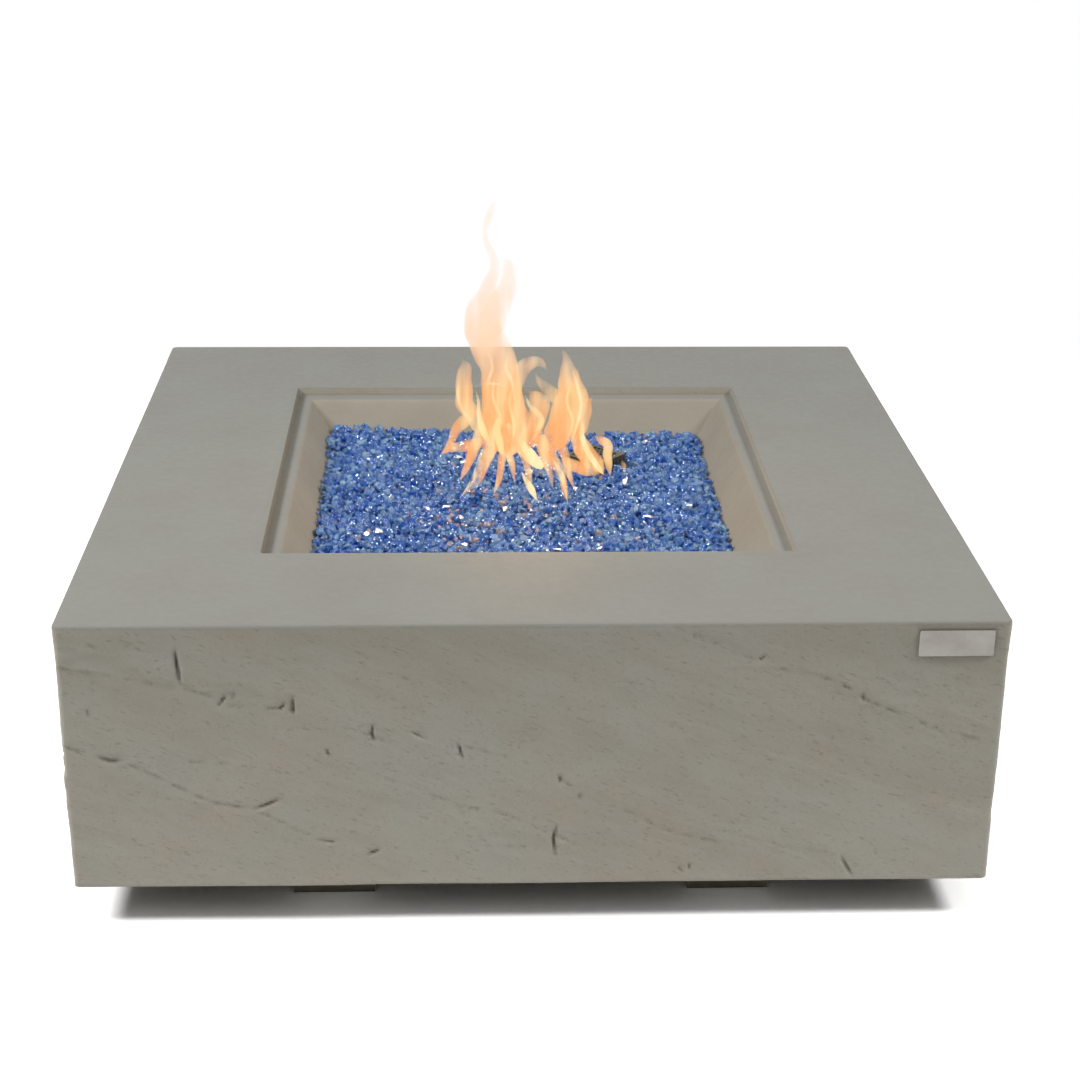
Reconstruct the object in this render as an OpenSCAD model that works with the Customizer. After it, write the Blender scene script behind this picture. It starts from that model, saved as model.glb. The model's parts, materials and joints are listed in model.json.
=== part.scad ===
// Square cast-concrete fire pit table with a gas burner under a bed of fire glass.
// Millimetres. The origin is on the floor under the middle of the table, +Z is up and the front faces -Y.

/* [Body] */
// Width and depth of the square body
table_w = 1067; // [850:1:1300]
// Height of the table top above the floor
table_h = 381; // [315:1:480]
// Thickness of the cast side walls
wall_t = 22; // [18:1:30]
// Thickness of the cast top
top_t = 25; // [18:1:34]
// Radius of the upright corners
corner_r = 8; // [5:0.5:20]
// Radius of the edge round the top
arris_r = 3; // [1:0.5:5]

/* [Fire bowl] */
// Width of the square opening in the top
bowl_w = 642; // [535:1:770]
// Drop from the top to the ledge that takes a lid
ledge_drop = 12; // [8:0.5:16]
// Width of that ledge
ledge_w = 20; // [12:0.5:26]
// Depth of the bowl floor below the top
bowl_depth = 110; // [92:1:132]
// Width of the square bowl floor
bowl_floor_w = 472; // [400:1:500]
// Thickness of the bowl walls and floor
bowl_t = 22; // [18:1:30]
// Radius of the corners of the lid opening
bowl_corner_r = 5; // [2:0.5:12]
// Diameter of the hole under the burner
burner_hole_d = 70; // [60:1:90]
// Diameter of the hole under the igniter
igniter_hole_d = 46; // [40:1:52]
// Outer diameter of the drain bushes
drain_d = 14; // [10:0.5:18]
// Distance of the drains from the edges of the bowl floor
drain_inset = 30; // [25:1:45]

/* [Fire glass] */
// Depth of the glass below the top, at the bowl walls
glass_drop = 57; // [48:1:68]
// Height by which the middle of the bed stands above its edges
glass_crown = 12; // [6:1:18]
// Size of the chips
chip_size = 15; // [12:0.5:24]
// Height by which the chips stick up or lie low
chip_rise = 5; // [2:0.5:8]

/* [Front plate] */
// Width of the metal plate on the front face
tag_w = 85; // [60:1:110]
// Height of the plate
tag_h = 31.5; // [20:0.5:40]
// Thickness of the plate
tag_t = 2; // [1:0.1:4]
// Distance of the plate from the right edge of the face
tag_side = 20.5; // [12:0.5:60]
// Distance of the plate from the top edge of the face
tag_top = 10.4; // [6:0.2:20]

/* [Feet and rails] */
// Height of the feet, and of the gap under the body
foot_h = 50; // [40:1:70]
// Width of a foot at its top
foot_w = 107; // [88:1:130]
// Draft of a foot on each side
foot_taper = 5; // [1:0.5:10]
// Distance between the left and right feet, centre to centre
foot_spacing = 472; // [390:1:570]
// Distance from the body's face to the floor edge of a foot
foot_setback = 68.5; // [57:0.5:85]
// Width of the steel channel on the feet
rail_w = 90; // [86:1:110]
// Height of the channel's flanges
rail_h = 40; // [25:1:50]
// Thickness of the channel
rail_t = 3; // [2:0.5:5]
// Width of the angles that hold the channels to the walls
cleat_w = 76; // [60:1:78]
// Length of the angles' legs
cleat_leg = 60; // [50:1:75]
// Thickness of the angles
cleat_t = 4; // [3:0.5:6]
// Diameter of the foot bolts
foot_bolt_d = 10; // [8:0.5:12]
// Depth of the recess for a foot bolt's head
foot_recess = 16; // [12:0.5:20]
// Diameter of the bolts between angles and walls
wall_bolt_d = 8; // [6:0.5:9]
// Diameter of the bolts between angles and channels
rail_bolt_d = 6; // [5:0.5:6.5]
// Distance between the two bolts of a pair
bolt_pitch = 44; // [34:1:48]
// Length of the threaded inserts cast into the concrete
insert_len = 13; // [9:0.5:15]
// Wall of the threaded inserts
insert_wall = 3; // [2:0.5:4]

/* [Burner] */
// Mean diameter of the burner ring
ring_d = 200; // [165:1:240]
// Diameter of the ring's tube
ring_tube_d = 18; // [15:0.5:22]
// Wall of the ring's tube
tube_wall = 1.5; // [1:0.1:2.5]
// Height of the ring's centre line above the burner plate
ring_lift = 22; // [18:0.5:27]
// Diameter of the flame ports
port_d = 3; // [2:0.1:4]
// Number of flame ports
port_count = 28; // [16:1:40]
// Diameter of the tube across the ring
cross_d = 15; // [12:0.5:16]
// Diameter of the burner's hub
hub_d = 34; // [30:0.5:40]
// Diameter of the burner's threaded stem
stem_pipe_d = 21; // [18:0.5:25]
// Length of the stem below the bowl
stem_below = 12; // [9:0.5:16]
// Thickness of the burner plate
burner_plate_t = 2; // [1:0.1:3]
// Margin of the burner plate outside the igniter hood
burner_plate_edge = 12; // [8:0.5:30]
// Diameter of the screws in the bowl
bowl_screw_d = 6; // [5:0.5:8]

/* [Igniter] */
// Width of the perforated hood over the igniter
guard_w = 60; // [54:0.5:70]
// Depth of the hood
guard_d = 60; // [54:0.5:70]
// Height of the hood above the middle of the glass
guard_show = 14; // [6:0.5:20]
// Sheet thickness of the hood
guard_t = 1; // [0.6:0.1:1.5]
// Direction of the hood from the middle of the burner
guard_angle = 47; // [35:1:55]
// Distance of the hood from the burner ring
guard_clear = 16; // [4:0.5:20]
// Pitch of the hood's perforation
hole_pitch = 7; // [6:0.1:9]
// Width of the metal between its holes
hole_web = 1.6; // [1:0.1:2.2]
// Diameter of the ceramic of the spark electrode
electrode_d = 8; // [6:0.5:9]
// Diameter of the flame sensor
sensor_d = 6; // [4:0.5:8]
// Distance of the electrode and the sensor from each other
probe_pitch = 22; // [18:0.5:24]
// Diameter of the electrode's lead
electrode_lead_d = 5; // [4:0.1:6]
// Diameter of the sensor's lead
sensor_lead_d = 3; // [2:0.1:4]

/* [Gas line] */
// Diameter of the air mixer
mixer_d = 32; // [28:0.5:38]
// Length of the air mixer
mixer_len = 55; // [46:0.5:66]
// Diameter of the mixer's throat
throat_d = 16; // [12:0.5:18]
// Diameter of the mixer's air holes
air_hole_d = 10; // [6:0.5:12]
// Diameter of the gas tube
gas_tube_d = 12; // [9:0.5:14]
// Radius of the gas tube's bends
gas_bend_r = 40; // [30:1:44]
// Diameter of the thread of the gas inlet
inlet_d = 15.9; // [13:0.1:19]
// Length of the thread of the gas inlet
inlet_len = 14; // [10:0.5:18]
// Bore of the gas inlet
inlet_bore = 8; // [6:0.5:9]

/* [Heat shield] */
// Margin of the heat shield outside the igniter's hole
shield_rim = 12; // [5:0.5:20]
// Distance of the shield from the bowl
shield_gap = 18; // [12:0.5:24]
// Sheet thickness of the shield
shield_t = 1.2; // [0.8:0.1:2]
// Height of the shield's turned-down edges
shield_lip = 12; // [6:0.5:18]
// Distance of the shield's screws from its edges
shield_edge = 20; // [14:0.5:28]

/* [Controls] */
// Width of the control tray's recess
tray_w = 168; // [150:1:202]
// Height of the recess
tray_h = 88; // [74:1:100]
// Depth of the recess
tray_d = 45; // [40:1:54]
// Width of the tray's rim on the wall
tray_rim = 16; // [14:0.5:22]
// Sheet thickness of the tray
tray_t = 1.5; // [1:0.1:2.5]
// Height of the controls above the bottom of the body
control_up = 80; // [74:1:95]
// Distance between the knob and the igniter button
control_pitch = 80; // [74:1:90]
// Diameter of the knob's skirt
knob_d = 44; // [37:0.5:50]
// Height of the knob
knob_h = 22; // [18:0.5:26]
// Travel of the knob when it is pressed
knob_push = 4; // [3:0.1:4.8]
// Number of the knob's grip flutes
knob_flutes = 12; // [8:1:16]
// Diameter of the valve's stem
stem_d = 8; // [6.5:0.1:9]
// Diameter of the valve's body
valve_d = 36; // [32:0.5:42]
// Length of the valve's body
valve_len = 50; // [49:0.5:60]
// Diameter of the valve's turning plug
plug_d = 16; // [15:0.1:19]
// Diameter of the igniter button
button_d = 16; // [15:0.1:18]
// Height of the button above its bezel
button_show = 5; // [4.5:0.1:7]
// Travel of the button
button_push = 4; // [2:0.1:4.4]
// Outer diameter of the igniter's barrel
barrel_d = 20; // [19.5:0.1:24]
// Diameter of the igniter's battery
battery_d = 10.5; // [9:0.1:12]
// Length of the igniter's battery
battery_len = 44.5; // [37:0.5:53]

/* [Hidden] */
$fn = 64;

// Clearances
fit = 0.1;       // fasteners, inserts and bushes in their holes
run_fit = 0.05;  // turning and sliding fits
gap = 0.3;       // pieces that lie beside each other
slack = 1;       // rough openings round sheet metal
over = 1;        // overshoot of cuts

// Levels of the body
half = table_w / 2;
inner_half = half - wall_t;
ledge_z = table_h - ledge_drop;
floor_z = table_h - bowl_depth;
floor_under = floor_z - bowl_t;
hopper_top = bowl_w / 2 - ledge_w;
hopper_foot = bowl_floor_w / 2;
slope = (hopper_top - hopper_foot) / (ledge_z - floor_z);
bowl_wall_x = bowl_t * sqrt(1 + slope * slope);
drain_at = hopper_foot - drain_inset;
drain_flange = 4;
drain_flange_d = drain_d + 2 * drain_flange;
drain_flange_t = 2;
drain_wall = 2;
drain_below = 6;

// Half width of the bowl at a height
function bowl_half(z) = hopper_foot + slope * (z - floor_z);

// Feet, rails and their fasteners
foot_bottom = foot_w - 2 * foot_taper;
foot_x = foot_spacing / 2;
foot_y = half - foot_setback - foot_bottom / 2;
rail_top = foot_h + rail_t;
rail_len = 2 * (inner_half - slack);
foot_recess_share = 2.4;
rail_bolt_y = inner_half - (foot_setback - foot_taper - wall_t) / 2;
wall_bolt_up = 0.65;    // height of the wall bolts on an angle's leg, as a share of the leg
wall_bolt_z = rail_top + cleat_leg * wall_bolt_up;
wall_bolt_y = inner_half - cleat_t;
wall_insert_d = wall_bolt_d + 2 * insert_wall;
bowl_insert_d = bowl_screw_d + 2 * insert_wall;
bolt_end = 2;     // thread showing past a nut, and left free in an insert
nut_wall = 3;     // metal round the bore of the large nuts
nut_h = 8;        // height of the burner's lock nut

// Widths across flats and heights of heads and nuts, as shares of the thread
head_af = 1.7;
head_share = 0.64;
nut_share = 0.8;

// Burner, hood and plate
plate_top = floor_z + burner_plate_t;
ring_z = plate_top + ring_lift;
ring_top = ring_z + ring_tube_d / 2;
hub_over = 4;
hub_top = ring_z + cross_d / 2 + hub_over;
stem_wall = 2.5;
stem_end = floor_under - stem_below;
guard_reach = (ring_d + ring_tube_d + guard_d) / 2 + guard_clear;
guard_turn = guard_angle - 90;
guard_x = guard_reach * cos(guard_angle);
guard_y = guard_reach * sin(guard_angle);
guard_far = max(guard_x, guard_y);
guard_span = (max(guard_w, guard_d) / 2) * (abs(cos(guard_turn)) + abs(sin(guard_turn)));
guard_tab = 12;
guard_screw_d = 4;
guard_screw_len = 10;
guard_screw_x = (guard_w + guard_tab) / 2;
burner_plate_w = 2 * (guard_far + guard_span + burner_plate_edge);
plate_screw_in = 12;
plate_screw_at = burner_plate_w / 2 - plate_screw_in;
screw_head_h = 3;
lead_hole_rim = 3;
lead_hole_d = igniter_hole_d - 2 * lead_hole_rim;
shield_w = 2 * (guard_far + igniter_hole_d / 2 + shield_rim);
shield_screw_at = shield_w / 2 - shield_edge;

// Bed of glass
glass_z = table_h - glass_drop;
glass_foot = floor_z + gap;
glass_half = bowl_half(glass_z) - gap;
glass_cells = floor(2 * glass_half / chip_size);
glass_side = glass_cells + 1;
chip_shift = 0.3;    // sideways scatter of the chips, as a share of their size
glass_seed = 7;
chip_up = rands(-1, 1, glass_side * glass_side, glass_seed);
chip_x = rands(-1, 1, glass_side * glass_side, glass_seed + 1);
chip_y = rands(-1, 1, glass_side * glass_side, glass_seed + 2);
guard_top = glass_z + glass_crown + guard_show;

// Igniter inside the hood
shelf_lift = 14;
shelf_z = plate_top + shelf_lift;
shelf_t = 1.5;
shelf_top = shelf_z + shelf_t;
shelf_end = 10;
shelf_w = probe_pitch + 2 * shelf_end;
shelf_room = 11;
shelf_back = guard_d / 2 - shelf_room;
shelf_front = 12;
shelf_tab = 7;
electrode_x = guard_x + probe_pitch / 2 * cos(guard_turn);
electrode_y = guard_y + probe_pitch / 2 * sin(guard_turn);
sensor_x = guard_x - probe_pitch / 2 * cos(guard_turn);
sensor_y = guard_y - probe_pitch / 2 * sin(guard_turn);
probe_down = 10;
probe_foot = plate_top - probe_down;
electrode_up = 22;
electrode_top = shelf_top + electrode_up;
electrode_tip_d = 2.4;
electrode_tip_up = 8;
electrode_tip_in = 12;
collar_t = 2;
collar_wall = 2;
sensor_up = 26;
sensor_top = shelf_top + sensor_up;
sensor_nut_h = 4;

// Gas line
mixer_socket = 14;
mixer_top = stem_end + mixer_socket;
mixer_foot = mixer_top - mixer_len;
jet_hex_af = 19;
jet_hex_h = 10;
jet_spigot = 10;
jet_bore = 1.5;
jet_foot = mixer_foot - jet_hex_h;
tube_nut_af = gas_tube_d + 2 * nut_wall;
tube_nut_h = 12;
tube_spare = 4;
tube_drop = gas_bend_r + tube_nut_h + tube_spare;

// Control panel, valve and igniter, behind the rear wall
control_z = foot_h + control_up;
knob_x = -control_pitch / 2;
button_x = control_pitch / 2;
panel_y = half - tray_d;
panel_back = panel_y - tray_t;
tray_screw_d = 5;
tray_screw_len = 16;
tray_screw_head = 9;
tray_screw_x = tray_w / 2 + tray_rim / 2;
tray_screw_z = tray_h / 2 + tray_rim / 2;
tray_corner_r = 8;
knob_spare = 1.5;
knob_gap = knob_push + knob_spare;
knob_skirt_h = 4;
knob_step = 4;
knob_grip_d = knob_d - 2 * knob_step;
knob_flute_d = 6;
knob_bore = 16;
pointer_w = 3;
pointer_h = 0.8;
valve_screw_d = 4;
valve_screw_head = 8;
valve_screw_clear = 2;
valve_screw_x = (knob_d + valve_screw_head) / 2 + valve_screw_clear;
valve_flange_w = 2 * (valve_screw_x + valve_screw_head);
valve_flange_t = 4;
valve_flange_h = valve_d + valve_flange_t;
bonnet_h = 6;
stem_collar = 1.8;
stem_collar_d = stem_d + 2 * stem_collar;
stem_collar_t = 2;
stem_collar_z = -(bonnet_h + gap + stem_collar_t);
plug_spare = 0.7;
plug_top = stem_collar_z - knob_push - plug_spare;
plug_len = 26;
plug_foot = plug_top - plug_len;
spring_seat = 6;
tang_t = 3;
tang_reach = 15;
tang_foot = plug_top - tang_reach;
slot_spare = 4;
slot_foot = tang_foot - knob_push - slot_spare;
stem_top = tray_t + knob_gap + knob_bore - gap;
stem_spring_wire = 0.8;
stem_spring_turns = 4;
spring_room = 2.4;
spring_bore_d = stem_d + 2 * spring_room;
inlet_boss_d = 20;
boss_in = 28;
boss_show = 10;
inlet_boss_y = panel_back - boss_in;
inlet_boss_z = control_z - valve_d / 2 - boss_show;
inlet_hex_af = 20;
inlet_hex_h = 9;
flare_h = 3;
outlet_boss_d = 18;
outlet_boss_h = 8;
outlet_y = panel_back - valve_len - outlet_boss_h;
sensor_boss_d = 14;
sensor_boss_x = knob_x + valve_d / 2 + boss_show;
bezel = 4;
bezel_d = barrel_d + 2 * bezel;
bezel_h = 3;
button_len = 14.5;
button_round = 1.5;
button_foot = bezel_h + button_show - button_len;
button_spring_pressed = 4;
button_spring_len = button_push + button_spring_pressed;
shoulder_z = button_foot - button_spring_len;
button_spring_wire = 1;
button_spring_turns = 3;
battery_room = 0.4;
battery_hole_d = battery_d + 2 * battery_room;
battery_nub_d = 3.8;
battery_nub_h = 1.2;
battery_past = 2;    // the battery stands this far past the shoulder
battery_foot = shoulder_z + battery_past - battery_len;
barrel_base = 3;
barrel_foot = battery_foot - barrel_base;
terminal_d = 6;
terminal_h = 6;
igniter_nut_af = barrel_d + 2 * nut_wall;
igniter_nut_h = 6;

// Routes of the gas tube and the leads, from end to end
tube_low = jet_foot - tube_drop;
tube_end_run = 80;
tube_side_run = 110;
gas_route = [
    [0, 0, jet_foot],
    [0, 0, tube_low],
    [0, outlet_y - tube_end_run - tube_side_run, tube_low],
    [knob_x, outlet_y - tube_end_run, control_z],
    [knob_x, outlet_y, control_z]
];
lead_drop = 50;
lead_low = floor_under - lead_drop;
lead_end_run = 60;
lead_bend_r = 14;
electrode_route = [
    [electrode_x, electrode_y, probe_foot],
    [electrode_x, electrode_y, lead_low],
    [button_x, panel_y + barrel_foot - lead_end_run, control_z],
    [button_x, panel_y + barrel_foot - terminal_h, control_z]
];
sensor_turn = 20;
sensor_turn_x = sensor_boss_x + sensor_turn;
sensor_route = [
    [sensor_x, sensor_y, probe_foot],
    [sensor_x, sensor_y, lead_low],
    [sensor_turn_x, inlet_boss_y - lead_end_run, control_z],
    [sensor_turn_x, inlet_boss_y, control_z],
    [sensor_boss_x, inlet_boss_y, control_z]
];

concrete = [0.60, 0.59, 0.54];
stainless = [0.76, 0.76, 0.74];
zinc = [0.62, 0.64, 0.66];
brass = [0.78, 0.65, 0.33];
black_plastic = [0.13, 0.13, 0.14];
glass_blue = [0.26, 0.38, 0.68];
ceramic = [0.92, 0.90, 0.85];

// General shapes

// Rectangle with round corners
module round_plan(w, d, r) {
    square([w - 2 * r, d], center = true);
    square([w, d - 2 * r], center = true);
    for (x = [-1, 1], y = [-1, 1])
        translate([x * (w / 2 - r), y * (d / 2 - r)]) circle(r);
}

// Square block on z = 0 whose width goes from w0 at its foot to w1 at its top
module hopper(w0, w1, h) {
    depth = max(w0, w1) + 2 * over;
    side = [[-w0 / 2, 0], [w0 / 2, 0], [w1 / 2, h], [-w1 / 2, h]];
    intersection() {
        rotate([90, 0, 0]) linear_extrude(depth, center = true) polygon(side);
        rotate([90, 0, 90]) linear_extrude(depth, center = true) polygon(side);
    }
}

// Plain box centred on x and y, standing on z = 0
module slab(w, d, h) {
    translate([-w / 2, -d / 2, 0]) cube([w, d, h]);
}

module hexagon(af, h) {
    cylinder(d = af / cos(30), h = h, $fn = 6);
}

// Bolt with its head on z = 0 and its shank below
module hex_bolt(d, length) {
    hexagon(head_af * d, head_share * d);
    translate([0, 0, -length]) cylinder(d = d, h = length + head_share * d / 2);
}

// Nut standing on z = 0
module hex_nut(d, af, h) {
    difference() {
        hexagon(af, h);
        translate([0, 0, -over]) cylinder(d = d + 2 * fit, h = h + 2 * over);
    }
}

// Screw with a low round head on z = 0 and its shank below
module pan_screw(d, head, length) {
    cylinder(d = head, h = screw_head_h);
    translate([0, 0, -length]) cylinder(d = d, h = length + screw_head_h / 2);
}

// Tube standing on z = 0
module bush(outer, inner, h) {
    difference() {
        cylinder(d = outer, h = h);
        translate([0, 0, -over]) cylinder(d = inner, h = h + 2 * over);
    }
}

// Children turned so that their +Z points to the rear, or to the front
module to_rear(x, y, z) {
    translate([x, y, z]) rotate([-90, 0, 0]) children();
}

module to_front(x, y, z) {
    translate([x, y, z]) rotate([90, 0, 0]) children();
}

// Copy of the right rear corner's children at one corner, or at all four
module at_corner(sx, sy) {
    mirror([sx < 0 ? 1 : 0, 0, 0]) mirror([0, sy < 0 ? 1 : 0, 0]) children();
}

module at_corners() {
    for (sx = [-1, 1], sy = [-1, 1]) at_corner(sx, sy) children();
}

// Children on each side of the middle, along x and along y
module on_axes(distance) {
    for (turn = [0 : 90 : 270]) rotate(turn) translate([distance, 0, 0]) children();
}

// Under the igniter's hood, which faces the middle of the burner
module at_guard(z) {
    translate([guard_x, guard_y, z]) rotate(guard_turn) children();
}

module at_guard_screws(z) {
    at_guard(z) for (s = [-1, 1]) translate([s * guard_screw_x, 0, 0]) children();
}

// Tubes along a route

function unit(v) = v / norm(v);

// Arc that rounds the corner b between a and c
function corner_arc(a, b, c, r, steps) =
    let (
        u = unit(a - b),
        w = unit(c - b),
        opening = acos(u * w),
        turn = 180 - opening,
        middle = b + unit(u + w) * r / sin(opening / 2),
        from = b + u * r / tan(opening / 2) - middle,
        to = b + w * r / tan(opening / 2) - middle
    )
    [for (k = [0 : steps])
        middle + (sin(turn * (1 - k / steps)) * from + sin(turn * k / steps) * to) / sin(turn)];

function rounded(p, r, steps) = concat(
    [p[0]],
    [for (i = [1 : len(p) - 2]) each corner_arc(p[i - 1], p[i], p[i + 1], r, steps)],
    [p[len(p) - 1]]
);

function heading(p, i) =
    i == 0 ? unit(p[1] - p[0]) :
    i == len(p) - 1 ? unit(p[i] - p[i - 1]) :
    unit(unit(p[i + 1] - p[i]) + unit(p[i] - p[i - 1]));

function square_to(t) = unit(cross(t, abs(t[0]) < 0.9 ? [1, 0, 0] : [0, 1, 0]));

// A direction square to the route, carried along it without twist
function carried(p, i, last) = i == len(p) ? [] :
    let (
        t = heading(p, i),
        n = i == 0 ? square_to(t) : unit(last - (last * t) * t)
    )
    concat([n], carried(p, i + 1, n));

module tube_along(p, d, sides) {
    normals = carried(p, 0, [0, 0, 0]);
    rings = len(p);
    points = [for (i = [0 : rings - 1], k = [0 : sides - 1])
        let (n = normals[i], b = cross(heading(p, i), n), a = 360 * k / sides)
        p[i] + d / 2 * (cos(a) * n + sin(a) * b)];
    walls = [for (i = [0 : rings - 2], k = [0 : sides - 1])
        let (
            a = i * sides + k,
            b = a + sides,
            c = (i + 1) * sides + (k + 1) % sides,
            e = i * sides + (k + 1) % sides
        )
        each [[a, b, c], [a, c, e]]];
    last = (rings - 1) * sides;
    start_cap = [for (k = [1 : sides - 2]) [0, k, k + 1]];
    end_cap = [for (k = [1 : sides - 2]) [last, last + k + 1, last + k]];
    polyhedron(points, concat(walls, start_cap, end_cap));
}

// Coil spring on z = 0
module coil(mean_d, wire, length, turns) {
    steps = 8;
    rise = length - wire;
    tube_along([for (k = [0 : steps * turns])
        [mean_d / 2 * cos(360 * k / steps), mean_d / 2 * sin(360 * k / steps),
         wire / 2 + rise * k / (steps * turns)]], wire, 6);
}

// Body

module cast_block() {
    body_h = table_h - foot_h;
    hull() for (x = [-1, 1], y = [-1, 1])
        translate([x * (half - corner_r), y * (half - corner_r), foot_h])
            rotate_extrude($fn = 32) {
                square([corner_r, body_h - arris_r]);
                translate([corner_r - arris_r, body_h - arris_r]) circle(arris_r, $fn = 16);
            }
}

module bowl_block() {
    z0 = floor_under;
    z1 = table_h - top_t / 2;
    translate([0, 0, z0])
        hopper(2 * (bowl_half(z0) + bowl_wall_x), 2 * (bowl_half(z1) + bowl_wall_x), z1 - z0);
}

module bowl_space() {
    translate([0, 0, ledge_z]) linear_extrude(ledge_drop + over) round_plan(bowl_w, bowl_w, bowl_corner_r);
    z1 = ledge_z + over;
    translate([0, 0, floor_z]) hopper(bowl_floor_w, 2 * bowl_half(z1), z1 - floor_z);
}

// Holes through and into the bowl floor
module floor_holes() {
    depth = bowl_t + 2 * over;
    translate([0, 0, floor_under - over]) cylinder(d = burner_hole_d, h = depth);
    translate([guard_x, guard_y, floor_under - over]) cylinder(d = igniter_hole_d, h = depth);
    at_corners() {
        translate([drain_at, drain_at, floor_under - over]) cylinder(d = drain_d + 2 * fit, h = depth);
        translate([drain_at, drain_at, floor_z - drain_flange_t])
            cylinder(d = drain_flange_d + 2 * fit, h = drain_flange_t + over);
    }
    on_axes(plate_screw_at) translate([0, 0, floor_z - insert_len])
        cylinder(d = bowl_insert_d + 2 * fit, h = insert_len + over);
    on_axes(shield_screw_at)
        translate([0, 0, floor_under - over]) cylinder(d = bowl_insert_d + 2 * fit, h = insert_len + over);
    at_guard_screws(floor_z - guard_screw_len)
        cylinder(d = guard_screw_d + 2 * gap, h = guard_screw_len + over);
}

// Opening in the rear wall for the tray, with the rebate and screw holes of its rim
module tray_opening() {
    to_rear(0, inner_half - over, control_z)
        linear_extrude(wall_t + 2 * over) square([tray_w + 2 * slack, tray_h + 2 * slack], center = true);
    to_rear(0, half - tray_t, control_z)
        linear_extrude(tray_t + over)
            round_plan(tray_w + 2 * tray_rim + 2 * gap, tray_h + 2 * tray_rim + 2 * gap, tray_corner_r);
    for (x = [-1, 1], z = [-1, 1])
        to_rear(x * tray_screw_x, half - tray_screw_len - over, control_z + z * tray_screw_z)
            cylinder(d = tray_screw_d + 2 * fit, h = tray_screw_len + 2 * over);
}

module tag_place() {
    translate([half - tag_side - tag_w / 2, -half, table_h - tag_top - tag_h / 2]) children();
}

module body_shell() {
    color(concrete) difference() {
        union() {
            difference() {
                cast_block();
                translate([0, 0, foot_h - over])
                    slab(2 * inner_half, 2 * inner_half, table_h - top_t - foot_h + over);
            }
            bowl_block();
        }
        bowl_space();
        floor_holes();
        tray_opening();
        at_corners() for (s = [-1, 1])
            to_rear(foot_x + s * bolt_pitch / 2, inner_half - over, wall_bolt_z)
                cylinder(d = wall_insert_d + 2 * fit, h = insert_len + over);
        tag_place() to_front(0, tag_t, 0) linear_extrude(tag_t + over)
            round_plan(tag_w + 2 * gap, tag_h + 2 * gap, tag_t + gap);
    }
}

module blank_plate() {
    color(stainless) tag_place() to_front(0, tag_t, 0) linear_extrude(tag_t) round_plan(tag_w, tag_h, tag_t);
}

// Fire glass

// Grid point i, j of the bed's rough top; the points on its rim lie on the bowl's walls
function glass_share(i) = 2 * i / glass_cells - 1;
function glass_rim(i) = i == 0 || i == glass_cells;
function glass_point(i, j) =
    let (
        k = i * glass_side + j,
        u = glass_share(i),
        v = glass_share(j),
        z = glass_z + glass_crown * (1 - u * u) * (1 - v * v) + chip_rise * chip_up[k],
        rim = bowl_half(z) - gap,
        stray = chip_size * chip_shift
    )
    [
        glass_rim(i) ? u * rim : u * glass_half + (glass_rim(j) ? 0 : stray * chip_x[k]),
        glass_rim(j) ? v * rim : v * glass_half + (glass_rim(i) ? 0 : stray * chip_y[k]),
        z
    ];

module glass_bed() {
    n = glass_cells;
    outline = concat(
        [for (i = [0 : n - 1]) [i, 0]],
        [for (j = [0 : n - 1]) [n, j]],
        [for (i = [n : -1 : 1]) [i, n]],
        [for (j = [n : -1 : 1]) [0, j]]
    );
    top = [for (i = [0 : n], j = [0 : n]) glass_point(i, j)];
    low_half = bowl_half(glass_foot) - gap;
    low = [for (q = outline) [glass_share(q[0]) * low_half, glass_share(q[1]) * low_half, glass_foot]];
    first_low = len(top);
    middle = first_low + len(low);
    top_faces = [for (i = [0 : n - 1], j = [0 : n - 1])
        let (a = i * glass_side + j, b = a + glass_side)
        each [[a, a + 1, b + 1], [a, b + 1, b]]];
    rim_faces = [for (k = [0 : len(outline) - 1])
        let (
            next = (k + 1) % len(outline),
            t0 = outline[k][0] * glass_side + outline[k][1],
            t1 = outline[next][0] * glass_side + outline[next][1],
            l0 = first_low + k,
            l1 = first_low + next
        )
        each [[t0, t1, l1], [t0, l1, l0], [middle, l0, l1]]];
    polyhedron(concat(top, low, [[0, 0, glass_foot]]), concat(top_faces, rim_faces));
}

// Room in the bed for the burner, its plate and the hood
module burner_room() {
    plate_room = burner_plate_t + screw_head_h + slack;
    translate([0, 0, floor_z - over])
        slab(burner_plate_w + 2 * slack, burner_plate_w + 2 * slack, plate_room + over);
    channel = ring_tube_d + 2 * slack;
    translate([0, 0, floor_z]) rotate_extrude()
        translate([(ring_d - channel) / 2, 0]) square([channel, ring_top + slack - floor_z]);
    translate([0, 0, floor_z]) slab(ring_d, cross_d + 2 * slack, ring_z + cross_d / 2 + slack - floor_z);
    translate([0, 0, floor_z]) cylinder(d = hub_d + 2 * slack, h = hub_top + slack - floor_z);
    at_guard(floor_z) slab(guard_w + 2 * slack, guard_d + 2 * slack, guard_top + slack - floor_z);
}

module fire_glass() {
    color(glass_blue) difference() {
        glass_bed();
        burner_room();
    }
}

// Feet and rails

module foot(sx, sy) {
    color(concrete) at_corner(sx, sy) translate([foot_x, foot_y, 0]) difference() {
        hopper(foot_bottom, foot_w, foot_h);
        translate([0, 0, -over]) cylinder(d = foot_bolt_d + 2 * fit, h = foot_h + 2 * over);
        translate([0, 0, -over]) cylinder(d = foot_recess_share * foot_bolt_d, h = foot_recess + over);
    }
}

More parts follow.
